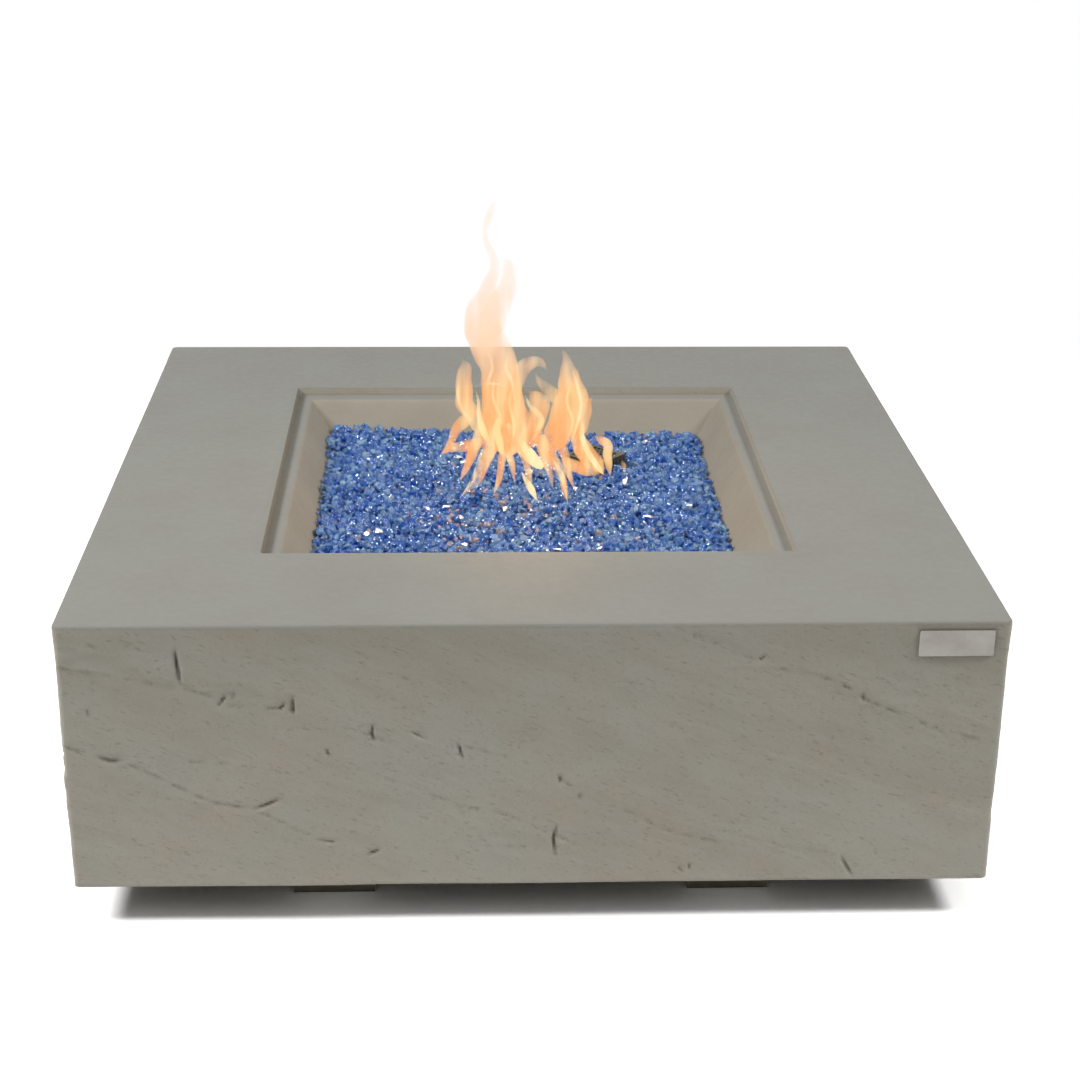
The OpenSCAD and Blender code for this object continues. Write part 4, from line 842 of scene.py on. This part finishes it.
def chip_kinds(draw):
    """Points and triangles of a few sharp-edged chips, about one unit across."""
    kinds = []
    corners = np.array([(i, j, k) for i in (-1, 1) for j in (-1, 1) for k in (-1, 1)]) * BLOCK_HALF
    for kind in range(CHIP_KINDS):
        if kind % 2:
            points = corners + draw.uniform(-BLOCK_WEAR, BLOCK_WEAR, (len(corners), 3))
        else:
            points = draw.normal(size=(CHIP_POINTS, 3))
            points *= SHARD_R / np.linalg.norm(points, axis=1)[:, None]
        points *= draw.uniform(*CHIP_STRETCH, 3)
        shape = bmesh.new()
        for point in points:
            shape.verts.new(point)
        hull = bmesh.ops.convex_hull(shape, input=shape.verts)
        bmesh.ops.delete(shape, geom=hull["geom_interior"], context="VERTS")
        shape.verts.index_update()
        triangles = [[v.index for v in face.verts] for face in shape.faces]
        kinds.append((np.array([v.co for v in shape.verts]), np.array(triangles)))
        shape.free()
    return kinds


def turned(draw):
    """A turn about a random axis, as a 3 by 3 matrix."""
    axes, _ = np.linalg.qr(draw.normal(size=(3, 3)))
    return axes * np.sign(np.linalg.det(axes))


def chip_tint(draw, x, y):
    """Tint of one chip: cobalt to pale blue or, in front of the flame, sometimes pale amber, a painted
    reflection of the flame.
    """
    far = math.dist((x, y), FLAME_REFLECTION_PLACE) / FLAME_REFLECTION_REACH
    if draw.random() < FLAME_REFLECTION_SHARE * math.exp(-far * far):
        return FLAME_REFLECTION_TINT
    colour = DEEP_BLUE + (PALE_BLUE - DEEP_BLUE) * draw.random() ** PALE_POWER
    return (*(colour + (GREY_BLUE - colour) * GREY_SHARE * draw.random()), 0.0)


def chips_mesh():
    """Points, triangles and tints of all the chips."""
    draw = np.random.default_rng(SEED)
    kinds = chip_kinds(draw)
    points, faces, tints = [], [], []
    count = 0

    def put(place, size, tint, turn=None):
        nonlocal count
        kind_points, kind_faces = kinds[draw.integers(CHIP_KINDS)]
        points.append(kind_points @ (turned(draw) if turn is None else turn).T * size + place)
        faces.append(kind_faces + count)
        tints.append(np.tile(tint, (len(kind_points), 1)))
        count += len(kind_points)

    cells = np.arange(-GLASS_HALF - CHIP_SPACING, GLASS_HALF + CHIP_SPACING, CHIP_SPACING)
    for layer in range(CHIP_LAYERS):
        grid = np.array(np.meshgrid(cells, cells)).reshape(2, -1) + CHIP_SPACING * layer / CHIP_LAYERS
        x, y = grid + draw.uniform(-0.5, 0.5, grid.shape) * CHIP_SPACING
        size = draw.uniform(CHIP_LEAST, CHIP_MOST, len(x))
        z = glass_level(x, y) - layer * LAYER_STEP - draw.uniform(0.0, CHIP_DROP, len(x))
        room = hopper_half(z) - WALL_GAP * size
        inside = (np.abs(x) < room) & (np.abs(y) < room) & clear_of_hood(x, y, WALL_GAP * size)
        for i in np.flatnonzero(inside):
            put((x[i], y[i], z[i]), size[i], chip_tint(draw, x[i], y[i]))
    x, y = draw.uniform(-FLOOR_HALF, FLOOR_HALF, (2, MIRRORS))
    z = glass_level(x, y) + MIRROR_HIGH
    for i in np.flatnonzero(clear_of_hood(x, y, CHIP_MOST)):
        lean = Matrix.Rotation(draw.normal() * MIRROR_LEAN, 3, "X")
        lean = lean @ Matrix.Rotation(draw.uniform(0, math.tau), 3, "Z")
        put((x[i], y[i], z[i]), CHIP_MOST, MIRROR_TINT, np.array(lean) @ np.diag(MIRROR_SHAPE))
    x, y = draw.uniform(-FLOOR_HALF, FLOOR_HALF, (2, SPLINTERS))
    z = glass_level(x, y) + draw.uniform(*SPLINTER_HIGH, SPLINTERS)
    for i in np.flatnonzero(clear_of_hood(x, y, SPLINTER_MOST)):
        put((x[i], y[i], z[i]), draw.uniform(SPLINTER_LEAST, SPLINTER_MOST), SPLINTER_TINT)
    return np.concatenate(points), np.concatenate(faces), np.concatenate(tints)


def slab():
    """A dark closed sheet of glass under the chips, open round the hood: points and faces."""
    half = int(GLASS_HALF // SLAB_CELL)
    spots = np.arange(-half, half + 1) * SLAB_CELL
    x, y = (axis.ravel() for axis in np.meshgrid(spots, spots))
    across = len(spots)
    clear = clear_of_hood(x + SLAB_CELL / 2, y + SLAB_CELL / 2, SLAB_CELL)
    firsts = [i for i in np.flatnonzero(clear) if i % across < across - 1 and i // across < across - 1]
    cells = np.array([(i, i + 1, i + across + 1, i + across) for i in firsts])
    used, places = np.unique(cells, return_inverse=True)
    cells = places.reshape(cells.shape).tolist()
    x, y = x[used], y[used]
    top = np.column_stack([x, y, glass_level(x, y) - SLAB_DROP])
    count = len(top)
    faces = cells + [[i + count for i in cell[::-1]] for cell in cells]
    sides = [(a, b) for cell in cells for a, b in zip(cell, cell[1:] + cell[:1])]
    inner = set(sides)
    faces += [[b, a, a + count, b + count] for a, b in sides if (b, a) not in inner]
    return np.concatenate([top, top - (0.0, 0.0, SLAB_T)]), faces


# Noises of the glass: scale, detail and roughness
GLASS_SHADE_NOISE, GLASS_SHADE_RAMP = (90.0, 3.0, 0.6), (0.35, 0.7, 0.0, 0.35)
GLASS_SHADE_TONE = srgb(56, 134, 236)
GLASS_GLOSS_NOISE, GLASS_ROUGH = (260.0, 2.0, 0.5), (0.02, 0.10)
GLASS_RELIEF_NOISE, GLASS_BUMP = (700.0, 2.0, 0.5), (0.0014, 0.8)
GLASS_IOR = 1.55
GLASS_CLEAR = 0.65
GLASS_SPECULAR = 0.9


def glass_material():
    s = new_material("crushed_glass")
    place = s.place()
    tint = s.add("Attribute", output="Color", attribute_name="tint")
    mirror = s.value("mirror")
    shade = s.ramp(s.noise(place, *GLASS_SHADE_NOISE), *GLASS_SHADE_RAMP)
    shade = s.times(shade, s.sums("SUBTRACT", 1.0, mirror))
    rough = s.ramp(s.noise(place, *GLASS_GLOSS_NOISE), *NOISE_RANGE, *GLASS_ROUGH)
    normal = s.bump(s.noise(place, *GLASS_RELIEF_NOISE), *GLASS_BUMP)
    return s.surface({"Base Color": s.mix(shade, tint, GLASS_SHADE_TONE), "Roughness": rough,
                      "IOR": GLASS_IOR, "Transmission Weight": GLASS_CLEAR, "Metallic": mirror,
                      "Specular IOR Level": GLASS_SPECULAR, "Normal": normal})


def fire_glass():
    points, faces, tints = chips_mesh()
    slab_points, slab_faces = slab()
    all_faces = faces.tolist() + [[i + len(points) for i in face] for face in slab_faces]
    all_points = np.concatenate([points, slab_points])
    mesh = new_mesh("fire_glass_chips", all_points, all_faces, glass_material())
    slab_tints = np.tile(SLAB_TINT, (len(slab_points), 1))
    tints = np.concatenate([tints, slab_tints]).astype(np.float32)
    paint(mesh, "mirror", tints[:, 3])
    tints[:, 3] = 1.0
    mesh.attributes.new("tint", "FLOAT_COLOR", "POINT").data.foreach_set("color", tints.ravel())
    new_piece("fire_glass_chips", mesh, "fire_glass")


# Kinds of finish: metal or not; scale, detail and roughness of its clouds; the same of its grain but for the
# scale, which is each finish's own; and the height of its relief in metres
METAL = (1.0, (38.0, 4.0, 0.6), (4.0, 0.65), 0.00004)
CASTING = (*METAL[:3], 0.0001)
PLAIN = (0.0, (60.0, 3.0, 0.5), (3.0, 0.6), 0.00005)
STONE = (*PLAIN[:3], 0.0004)
CLOUD_RANGE = (0.35, 0.68)
GRAIN_STRENGTH = 0.5
EVEN = (1.0, 1.0, 1.0)

# Finishes: kind, light and dark tone, least and most roughness, scale of the grain and its stretch, if any
FINISHES = {
    # Concrete is darker than the body's stone: painted shade for the feet, which stand under the table
    "concrete": (STONE, (132, 126, 110), (120, 114, 98), (0.62, 0.78), 320.0),
    "stainless": (METAL, (202, 200, 196), (186, 184, 180), (0.26, 0.42), 420.0, (1.0, 9.0, 9.0)),
    "zinc_steel": (METAL, (186, 190, 194), (164, 168, 170), (0.34, 0.52), 190.0),
    "cast_alloy": (CASTING, (172, 172, 170), (150, 150, 148), (0.46, 0.62), 700.0),
    "brass": (METAL, (206, 172, 104), (182, 146, 82), (0.24, 0.40), 320.0),
    "black_plastic": (PLAIN, (38, 38, 40), (30, 30, 32), (0.38, 0.52), 1500.0),
    "ceramic": (PLAIN, (232, 228, 216), (218, 212, 198), (0.30, 0.44), 800.0),
    "lead_rubber": (PLAIN, (46, 44, 42), (36, 35, 34), (0.60, 0.74), 900.0),
    "battery_can": (PLAIN, (52, 82, 140), (44, 70, 124), (0.30, 0.40), 500.0),
    "hood_steel": (METAL, (122, 112, 84), (88, 82, 64), (0.34, 0.55), 160.0),
    "plate_steel": (METAL, (168, 164, 159), (156, 151, 145), (0.38, 0.50), 300.0, (1.0, 8.0, 8.0)),
    "mark_white": (PLAIN, (228, 227, 222), (216, 214, 208), (0.42, 0.55), 900.0),
    "mark_dark": (PLAIN, (46, 46, 48), (38, 38, 40), (0.45, 0.58), 900.0),
}
OWN_FINISHES = {"igniter_guard": "hood_steel", "blank_plate": "plate_steel"}


def finish(name, kind, light, dark, rough, grain, stretch=EVEN):
    """A material with cloudy tone, uneven gloss and a grain that may be drawn out along one axis."""
    metallic, cloud_noise, grain_noise, relief = kind
    s = new_material(name)
    place = s.place()
    tone = s.tones(s.noise(place, *cloud_noise), *CLOUD_RANGE, light, dark)
    lumps = s.noise(s.stretched(place, stretch), grain, *grain_noise)
    gloss = s.ramp(lumps, *NOISE_RANGE, *rough)
    normal = s.bump(lumps, relief, GRAIN_STRENGTH)
    return s.surface({"Base Color": tone, "Metallic": metallic, "Roughness": gloss, "Normal": normal})


def finish_nodes(finishes):
    """Gives every CAD node that still shows the finish of its slot, and two of them their own."""
    for part in frame["record"]["subparts"]:
        node = nodes[part["node"]]
        if not node.hide_render:
            node.data.materials.clear()
            node.data.materials.append(finishes[OWN_FINISHES.get(part["node"], part["material_slot"])])


# Springs under the knob and the button: their joints, and the share of their length that is left when pressed
SPRINGS = (("stem_spring", "knob_push", 0.60), ("button_spring", "igniter_push", 0.47))


def springs():
    """Gives each spring a mesh of its own."""
    for name, joint, kept in SPRINGS:
        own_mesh(nodes[name])


# Marks of the controls, in millimetres
MARK_T = 0.4
LINE_HALF = 1.1
LINE_FROM = 8.0
LINE_TO = 19.0
ARC_R = 33.5
ARC_WIDE = 2.6
ARC_THIN = 0.5
ARC_START = math.radians(62)
ARC_END = math.radians(-120)
ARC_STEPS = 28
DOT_R = 1.7
DOT_SIDES = 20
TRAY_SHEET = 1.5


def mark(name, outline, y, body, material):
    """A flat raised shape, from an outline of (x, z) that runs from x to z, on a face towards +Y."""
    rings = [[(x, y + lift, z) for x, z in outline] for lift in (0.0, MARK_T)]
    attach(lofted(name, rings, material), body)


def control_marks(white, dark):
    """A line on the knob, and round it on the tray a dot at its start and an arc along its turn."""
    low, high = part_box("control_knob")
    x0, z0 = (low.x + high.x) / 2 / MM, (low.z + high.z) / 2 / MM

    def round_knob(radius, angle, lift=0.0):
        return x0 + radius * math.cos(angle), z0 + lift + radius * math.sin(angle)

    line = [(-LINE_HALF, LINE_FROM), (LINE_HALF, LINE_FROM), (LINE_HALF, LINE_TO), (-LINE_HALF, LINE_TO)]
    mark("knob_line", [(x0 + x, z0 + z) for x, z in line], high.y / MM, "knob", white)
    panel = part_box("control_tray")[0].y / MM + TRAY_SHEET
    shares = np.linspace(0.0, 1.0, ARC_STEPS + 1)
    angles = ARC_START + (ARC_END - ARC_START) * shares
    widths = ARC_WIDE + (ARC_THIN - ARC_WIDE) * shares
    outer = [round_knob(ARC_R + width, angle) for angle, width in zip(angles, widths)]
    inner = [round_knob(ARC_R, angle) for angle in angles]
    dot = [round_knob(DOT_R, math.tau * i / DOT_SIDES, ARC_R + DOT_R) for i in range(DOT_SIDES)]
    mark("panel_dot", dot, panel, "table", dark)
    mark("panel_arc", inner + outer[::-1], panel, "table", dark)


# Flame, which is part of the setting and not of the table

# Each tongue: points x, y, z and half width, from its tip to its foot, in millimetres
TONGUES = [
    [(-35, 0, 741, 0), (-44, 0, 717, 5), (-50, 0, 696, 3), (-48, 0, 679, 4), (-40, 0, 662, 5),
     (-37, 0, 643, 7), (-44, 0, 621, 10), (-49, 0, 601, 17), (-54, 0, 579, 21), (-53, 0, 560, 24),
     (-45, 0, 542, 24), (-34, 0, 519, 24), (-30, 0, 494, 24), (-27, 0, 467, 27), (-23, 0, 439, 29),
     (-19, 0, 410, 27), (-19, 0, 384, 0)],
    [(-28, 5, 656, 0), (-21, 5, 650, 6), (-20, 5, 635, 9), (-23, 5, 613, 12), (-32, 5, 591, 15),
     (-41, 5, 568, 17), (-44, 5, 540, 0)],
    [(32, 0, 507, 0), (26, 0, 516, 4), (17, 0, 520, 7), (5, 0, 515, 9), (-5, 0, 504, 11), (-12, 0, 486, 11),
     (-14, 0, 464, 11), (-14, 0, 432, 0)],
    [(-80, 10, 520, 0), (-76, 10, 508, 8), (-78, 10, 491, 10), (-78, 10, 475, 11), (-77, 10, 458, 11),
     (-67, 10, 444, 11), (-53, 10, 424, 11), (-36, 10, 407, 0)],
    [(7, 0, 479, 0), (15, 0, 472, 8), (23, 0, 461, 12), (20, 0, 444, 13), (13, 0, 427, 13), (5, 0, 408, 11),
     (-3, 0, 389, 0)],
    [(48, 5, 524, 0), (53, 5, 531, 2), (58, 5, 519, 6), (60, 5, 504, 11), (63, 5, 487, 16),
     (66, 5, 470, 20), (61, 5, 454, 21), (53, 5, 431, 20), (45, 5, 409, 15), (40, 5, 386, 0)],
    [(94, 8, 467, 0), (86, 8, 460, 7), (80, 8, 444, 12), (73, 8, 424, 12), (67, 8, 405, 0)],
    [(73, 8, 515, 0), (73, 8, 497, 2), (72, 8, 478, 4), (69, 8, 453, 0)],
    [(16, 5, 504, 0), (22, 5, 491, 4), (31, 5, 482, 7), (42, 5, 470, 9), (50, 5, 454, 0)],
    [(77, 20, 457, 8), (74, 20, 434, 11), (75, 20, 409, 9), (84, 20, 389, 12), (98, 20, 372, 12),
     (106, 20, 362, 7), (112, 20, 354, 0)],
    [(52, 20, 382, 0), (64, 20, 370, 7), (79, 20, 363, 8), (95, 20, 359, 7), (109, 20, 354, 0)],
    [(98, 40, 403, 0), (108, 40, 396, 5), (118, 40, 389, 6), (117, 40, 373, 6), (120, 40, 357, 4),
     (122, 40, 340, 0)],
    [(138, 60, 362, 0), (141, 60, 351, 4), (140, 60, 340, 0)],
    [(17, -20, 429, 7), (32, -27, 406, 8), (44, -34, 388, 7), (52, -41, 371, 5), (55, -47, 357, 4),
     (59, -54, 340, 0)],
    [(-62, 20, 446, 5), (-74, 20, 433, 8), (-87, 20, 421, 7), (-94, 20, 404, 5), (-101, 20, 391, 4),
     (-110, 20, 382, 0)],
    [(-112, 10, 386, 0), (-94, 10, 396, 5), (-73, 10, 399, 7), (-54, 10, 403, 7), (-38, 10, 407, 0)],
    [(-41, -10, 449, 8), (-54, -1, 421, 9), (-65, 8, 393, 7), (-74, 18, 367, 5), (-85, 27, 340, 0)],
    [(-30, -20, 438, 9), (-44, -23, 404, 8), (-54, -25, 380, 6), (-64, -28, 360, 5), (-84, -30, 340, 0)],
    [(-33, -20, 417, 4), (-45, -3, 383, 4), (-55, 15, 340, 0)],
    [(-22, -20, 410, 5), (-14, -3, 377, 4), (-9, 14, 340, 0)],
    [(-8, -10, 414, 6), (2, -18, 392, 5), (8, -26, 372, 4), (12, -34, 350, 0)],
    [(24, -8, 420, 8), (28, -14, 398, 7), (36, -22, 376, 5), (40, -32, 350, 0)],
    [(48, 0, 410, 8), (57, -6, 390, 6), (62, -14, 368, 4), (70, -22, 346, 0)],
    [(-20, -8, 410, 7), (-28, -16, 386, 5), (-32, -24, 362, 4), (-40, -30, 342, 0)],
]
# Brighter streams inside the flame and in front of it, in the same form
THREADS = [
    [(-20, -20, 440, 3), (-11, 0, 415, 6), (0, 21, 393, 8), (13, 41, 372, 8), (25, 61, 353, 6),
     (30, 81, 340, 0)],
    [(-3, -30, 379, 0), (4, -37, 367, 3), (12, -43, 354, 4), (20, -50, 340, 0)],
    [(36, -33, 400, 0), (46, -36, 384, 3), (53, -42, 369, 3), (59, -54, 340, 0)],
    [(-66, -20, 489, 0), (-57, -22, 495, 1), (-44, -24, 497, 2), (-29, -26, 496, 1), (-18, -26, 490, 0)],
    [(-63, -12, 486, 0), (-59, -14, 470, 2), (-58, -16, 450, 3), (-52, -16, 428, 4), (-42, -14, 404, 0)],
    [(-14, -28, 500, 0), (-18, -28, 470, 2), (-12, -28, 440, 2), (-16, -26, 408, 0)],
    [(-36, -26, 520, 0), (-40, -26, 480, 2), (-30, -30, 450, 2), (-34, -28, 416, 0)],
    [(2, -12, 478, 0), (10, -12, 462, 3), (24, -13, 446, 4), (20, -13, 428, 3), (10, -12, 410, 0)],
    [(64, -14, 500, 0), (58, -14, 470, 2), (66, -16, 440, 2), (56, -14, 410, 0)],
    [(-84, 2, 500, 0), (-86, 2, 474, 2), (-80, 2, 452, 2), (-60, 0, 430, 0)],
    [(82, 10, 440, 0), (80, 10, 414, 3), (90, 9, 388, 4), (104, 10, 366, 3), (112, 14, 354, 0)],
    [(-50, -20, 416, 0), (-58, -24, 392, 2), (-66, -28, 366, 3), (-84, -32, 340, 0)],
    [(-49, -24, 548, 0), (-41, -26, 520, 2), (-47, -26, 498, 2), (-44, -28, 470, 0)],
    [(-20, -27, 545, 0), (-23, -27, 520, 2), (-15, -28, 500, 2), (-12, -27, 475, 0)],
    [(60, -12, 525, 0), (71, -13, 492, 2), (77, -13, 462, 2), (70, -13, 430, 2), (62, -11, 400, 0)],
    [(-30, -28, 458, 0), (-35, -29, 438, 5), (-31, -29, 416, 5), (-26, -28, 394, 0)],
    [(-45, 5, 630, 0), (-42, 5, 600, 2), (-52, 0, 575, 2), (-44, 0, 548, 0)],
    [(4, -12, 436, 0), (-2, -14, 418, 3), (6, -18, 398, 4), (14, -20, 376, 0)],
]

# Tubes round those lines: least half width in millimetres, depth for its width, wobble and gain of the width
STREAM_SIDES = 14
STREAM_STEPS = 8
STREAM_LEAST = 0.35
STREAM_DEEP = 0.8
STREAM_NOISE, STREAM_WOBBLE = (21.0, 6.1), 0.2
STREAM_WIDER = 1.1

# Heights, in metres, at which the gas changes, and its density at the foot, higher up and near the tip
FOOT_Z, DENSE_Z, THIN_Z = 0.37, 0.44, 0.60
PALE_RANGE = (0.48, 0.58)
FOOT_DENSE, DENSE, THIN = 240.0, 115.0, 70.0

# Wisps and heat of the gas: stretch of a noise, its scale, detail and roughness, and the range that counts
WISP_STRETCH, WISP_NOISE, WISP_RANGE = (52.0, 40.0, 15.0), (1.0, 3.0, 0.55), (0.28, 0.62)
HEAT_STRETCH, HEAT_NOISE, HEAT_RANGE = (70.0, 50.0, 11.0), (1.0, 2.0, 0.5), (0.42, 0.60)

# Light of the gas and of the brighter streams: low, hot and high colour, and the gain of the density
GAS_LIGHT = ((1.06, 0.46, 0.17), (1.14, 0.75, 0.37), (1.0, 0.76, 0.57), 1.0)
BRIGHT_LIGHT = ((1.14, 0.82, 0.38), (1.2, 0.97, 0.58), (1.0, 0.88, 0.70), 2.4)


def through(points):
    """A smooth line through points with half widths, as points closer together."""
    known = np.array(points, float)
    known = np.concatenate([2 * known[:1] - known[1:2], known, 2 * known[-1:] - known[-2:-1]])
    line = []
    for before, start, end, after in zip(known, known[1:], known[2:], known[3:]):
        for t in np.arange(STREAM_STEPS) / STREAM_STEPS:
            bend = 2 * start + (end - before) * t + (2 * before - 5 * start + 4 * end - after) * t ** 2
            line.append(0.5 * (bend + (3 * start - before - 3 * end + after) * t ** 3))
    return np.array(line + [known[-2]])


def stream(name, line, material):
    """A closed round tube of changing width along a line."""
    places, widths = line[:, :3], np.maximum(STREAM_WIDER * line[:, 3], STREAM_LEAST)
    heading = np.gradient(places, axis=0)
    heading /= np.linalg.norm(heading, axis=1)[:, None]
    across = np.cross(heading, (0.0, 1.0, 0.0))
    across /= np.linalg.norm(across, axis=1)[:, None]
    deep = np.cross(across, heading)
    angles = np.arange(STREAM_SIDES) * 2 * math.pi / STREAM_SIDES
    rings = []
    for place, width, u, v in zip(places, widths, across, deep):
        round_it = np.outer(np.cos(angles), u) + STREAM_DEEP * np.outer(np.sin(angles), v)
        swell = 1.0 + STREAM_WOBBLE * field(place + width * round_it, *STREAM_NOISE)
        rings.append(place + width * round_it * swell[:, None])
    obj = lofted(name, rings, material)
    obj.visible_diffuse = False
    obj.visible_shadow = False


def fire_material(name, low_colour, hot_colour, high_colour, gain):
    """Glowing gas, which hides what is behind it, and thins out and pales as it rises."""
    s = new_material(name)
    place = s.place()
    _, _, height = s.axes(place)
    wisps = s.noise(s.stretched(place, WISP_STRETCH), *WISP_NOISE)
    upper = s.ramp(height, DENSE_Z, THIN_Z, gain * DENSE, gain * THIN)
    density = s.ramp(height, FOOT_Z, DENSE_Z, gain * FOOT_DENSE, upper)
    density = s.times(density, s.ramp(wisps, *WISP_RANGE))
    heat = s.noise(s.stretched(place, HEAT_STRETCH), *HEAT_NOISE)
    low = s.mix(s.ramp(heat, *HEAT_RANGE), low_colour, hot_colour)
    colour = s.mix(s.ramp(height, *PALE_RANGE), low, high_colour)
    dim = s.add("VolumeAbsorption", {"Color": (0.0, 0.0, 0.0), "Density": density})
    light = s.add("Emission", {"Color": colour, "Strength": density})
    return s.end(s.add("AddShader", {0: dim, 1: light}), "Volume")


def flame():
    gas = fire_material("flame_gas", *GAS_LIGHT)
    bright = fire_material("flame_bright", *BRIGHT_LIGHT)
    for kind, material, lines in (("gas", gas, TONGUES), ("thread", bright, THREADS)):
        for number, points in enumerate(lines):
            stream(f"flame_{kind}_{number}", through(points), material)


# Camera, floor and light: half the floor's side in millimetres, places and sizes of lamps in metres
GROUND_HALF = 1700.0
FLOOR_GREY = 0.8
FLOOR_WHITE = 1.8
FLOOR_MIRRORED = 1.05
SKY_START = 0.35
SKY_HIGH = 0.52
LAMP_TARGET = (0.0, 0.0, 0.3)
LAMPS = {
    "key": ("AREA", (-2.85, -0.95, 2.94), {"size": 1.0, "energy": 96.0}),
    "fill": ("AREA", (2.79, -1.06, 2.96), {"size": 1.0, "energy": 74.0}),
    "glow": ("POINT", (0.0, -0.10, 0.50), {"shadow_soft_size": 0.08, "energy": 0.9, "color": (1, 0.6, 0.26)}),
}


def floor():
    corners = [(x * GROUND_HALF, y * GROUND_HALF, 0.0) for x, y in ((-1, -1), (1, -1), (1, 1), (-1, 1))]
    s = new_material("floor_white")
    tone = s.ramp(s.seen("Glossy"), 0.0, 1.0, FLOOR_GREY, FLOOR_MIRRORED)
    tone = s.ramp(s.seen("Camera", "Transmission"), 0.0, 1.0, tone, FLOOR_WHITE)
    colour = s.add("CombineColor", {0: tone, 1: tone, 2: tone})
    material = s.end(s.add("BsdfDiffuse", {"Color": colour}))
    obj = new_object("floor", new_mesh("floor", corners, [(0, 1, 2, 3)], material))


def sky():
    """A white world that lights the table from above only, and shows white all round."""
    world = bpy.data.worlds.new("studio")
    bpy.context.scene.world = world
    s = Shader(world, "OutputWorld")
    _, _, rising = s.axes(s.add("TexCoord", output="Generated"))
    soft = s.ramp(rising, SKY_START, 1.0, 0.0, SKY_HIGH)
    strength = s.ramp(s.seen("Camera", "Glossy", "Transmission"), 0.0, 1.0, soft, 1.0)
    s.end(s.add("Background", {"Color": (1.0, 1.0, 1.0), "Strength": strength}))


def lamps():
    """Two soft lights that look at the table, and the warm light of the flame."""
    for name, (kind, place, settings) in LAMPS.items():
        data = bpy.data.lights.new(name, kind)
        for key, value in settings.items():
            setattr(data, key, value)
        obj = new_object(name, data)
        obj.location = place
        obj.rotation_euler = (Vector(LAMP_TARGET) - Vector(place)).to_track_quat("-Z", "Y").to_euler()


def camera():
    data = bpy.data.cameras.new("camera")
    data.lens = CAMERA_LENS
    obj = new_object("camera", data)
    place = Matrix.Translation(CAMERA_PLACE)
    for angle, axis in CAMERA_ANGLES:
        place = place @ Matrix.Rotation(math.radians(angle), 4, axis)
    obj.matrix_world = place
    bpy.context.scene.camera = obj


bpy.context.scene.view_settings.view_transform = "Standard"
camera()
floor()
sky()
lamps()

stone_body()
fire_glass()
finishes = {name: finish(name, *values) for name, values in FINISHES.items()}
control_marks(finishes["mark_white"], finishes["mark_dark"])
finish_nodes(finishes)
springs()
flame()
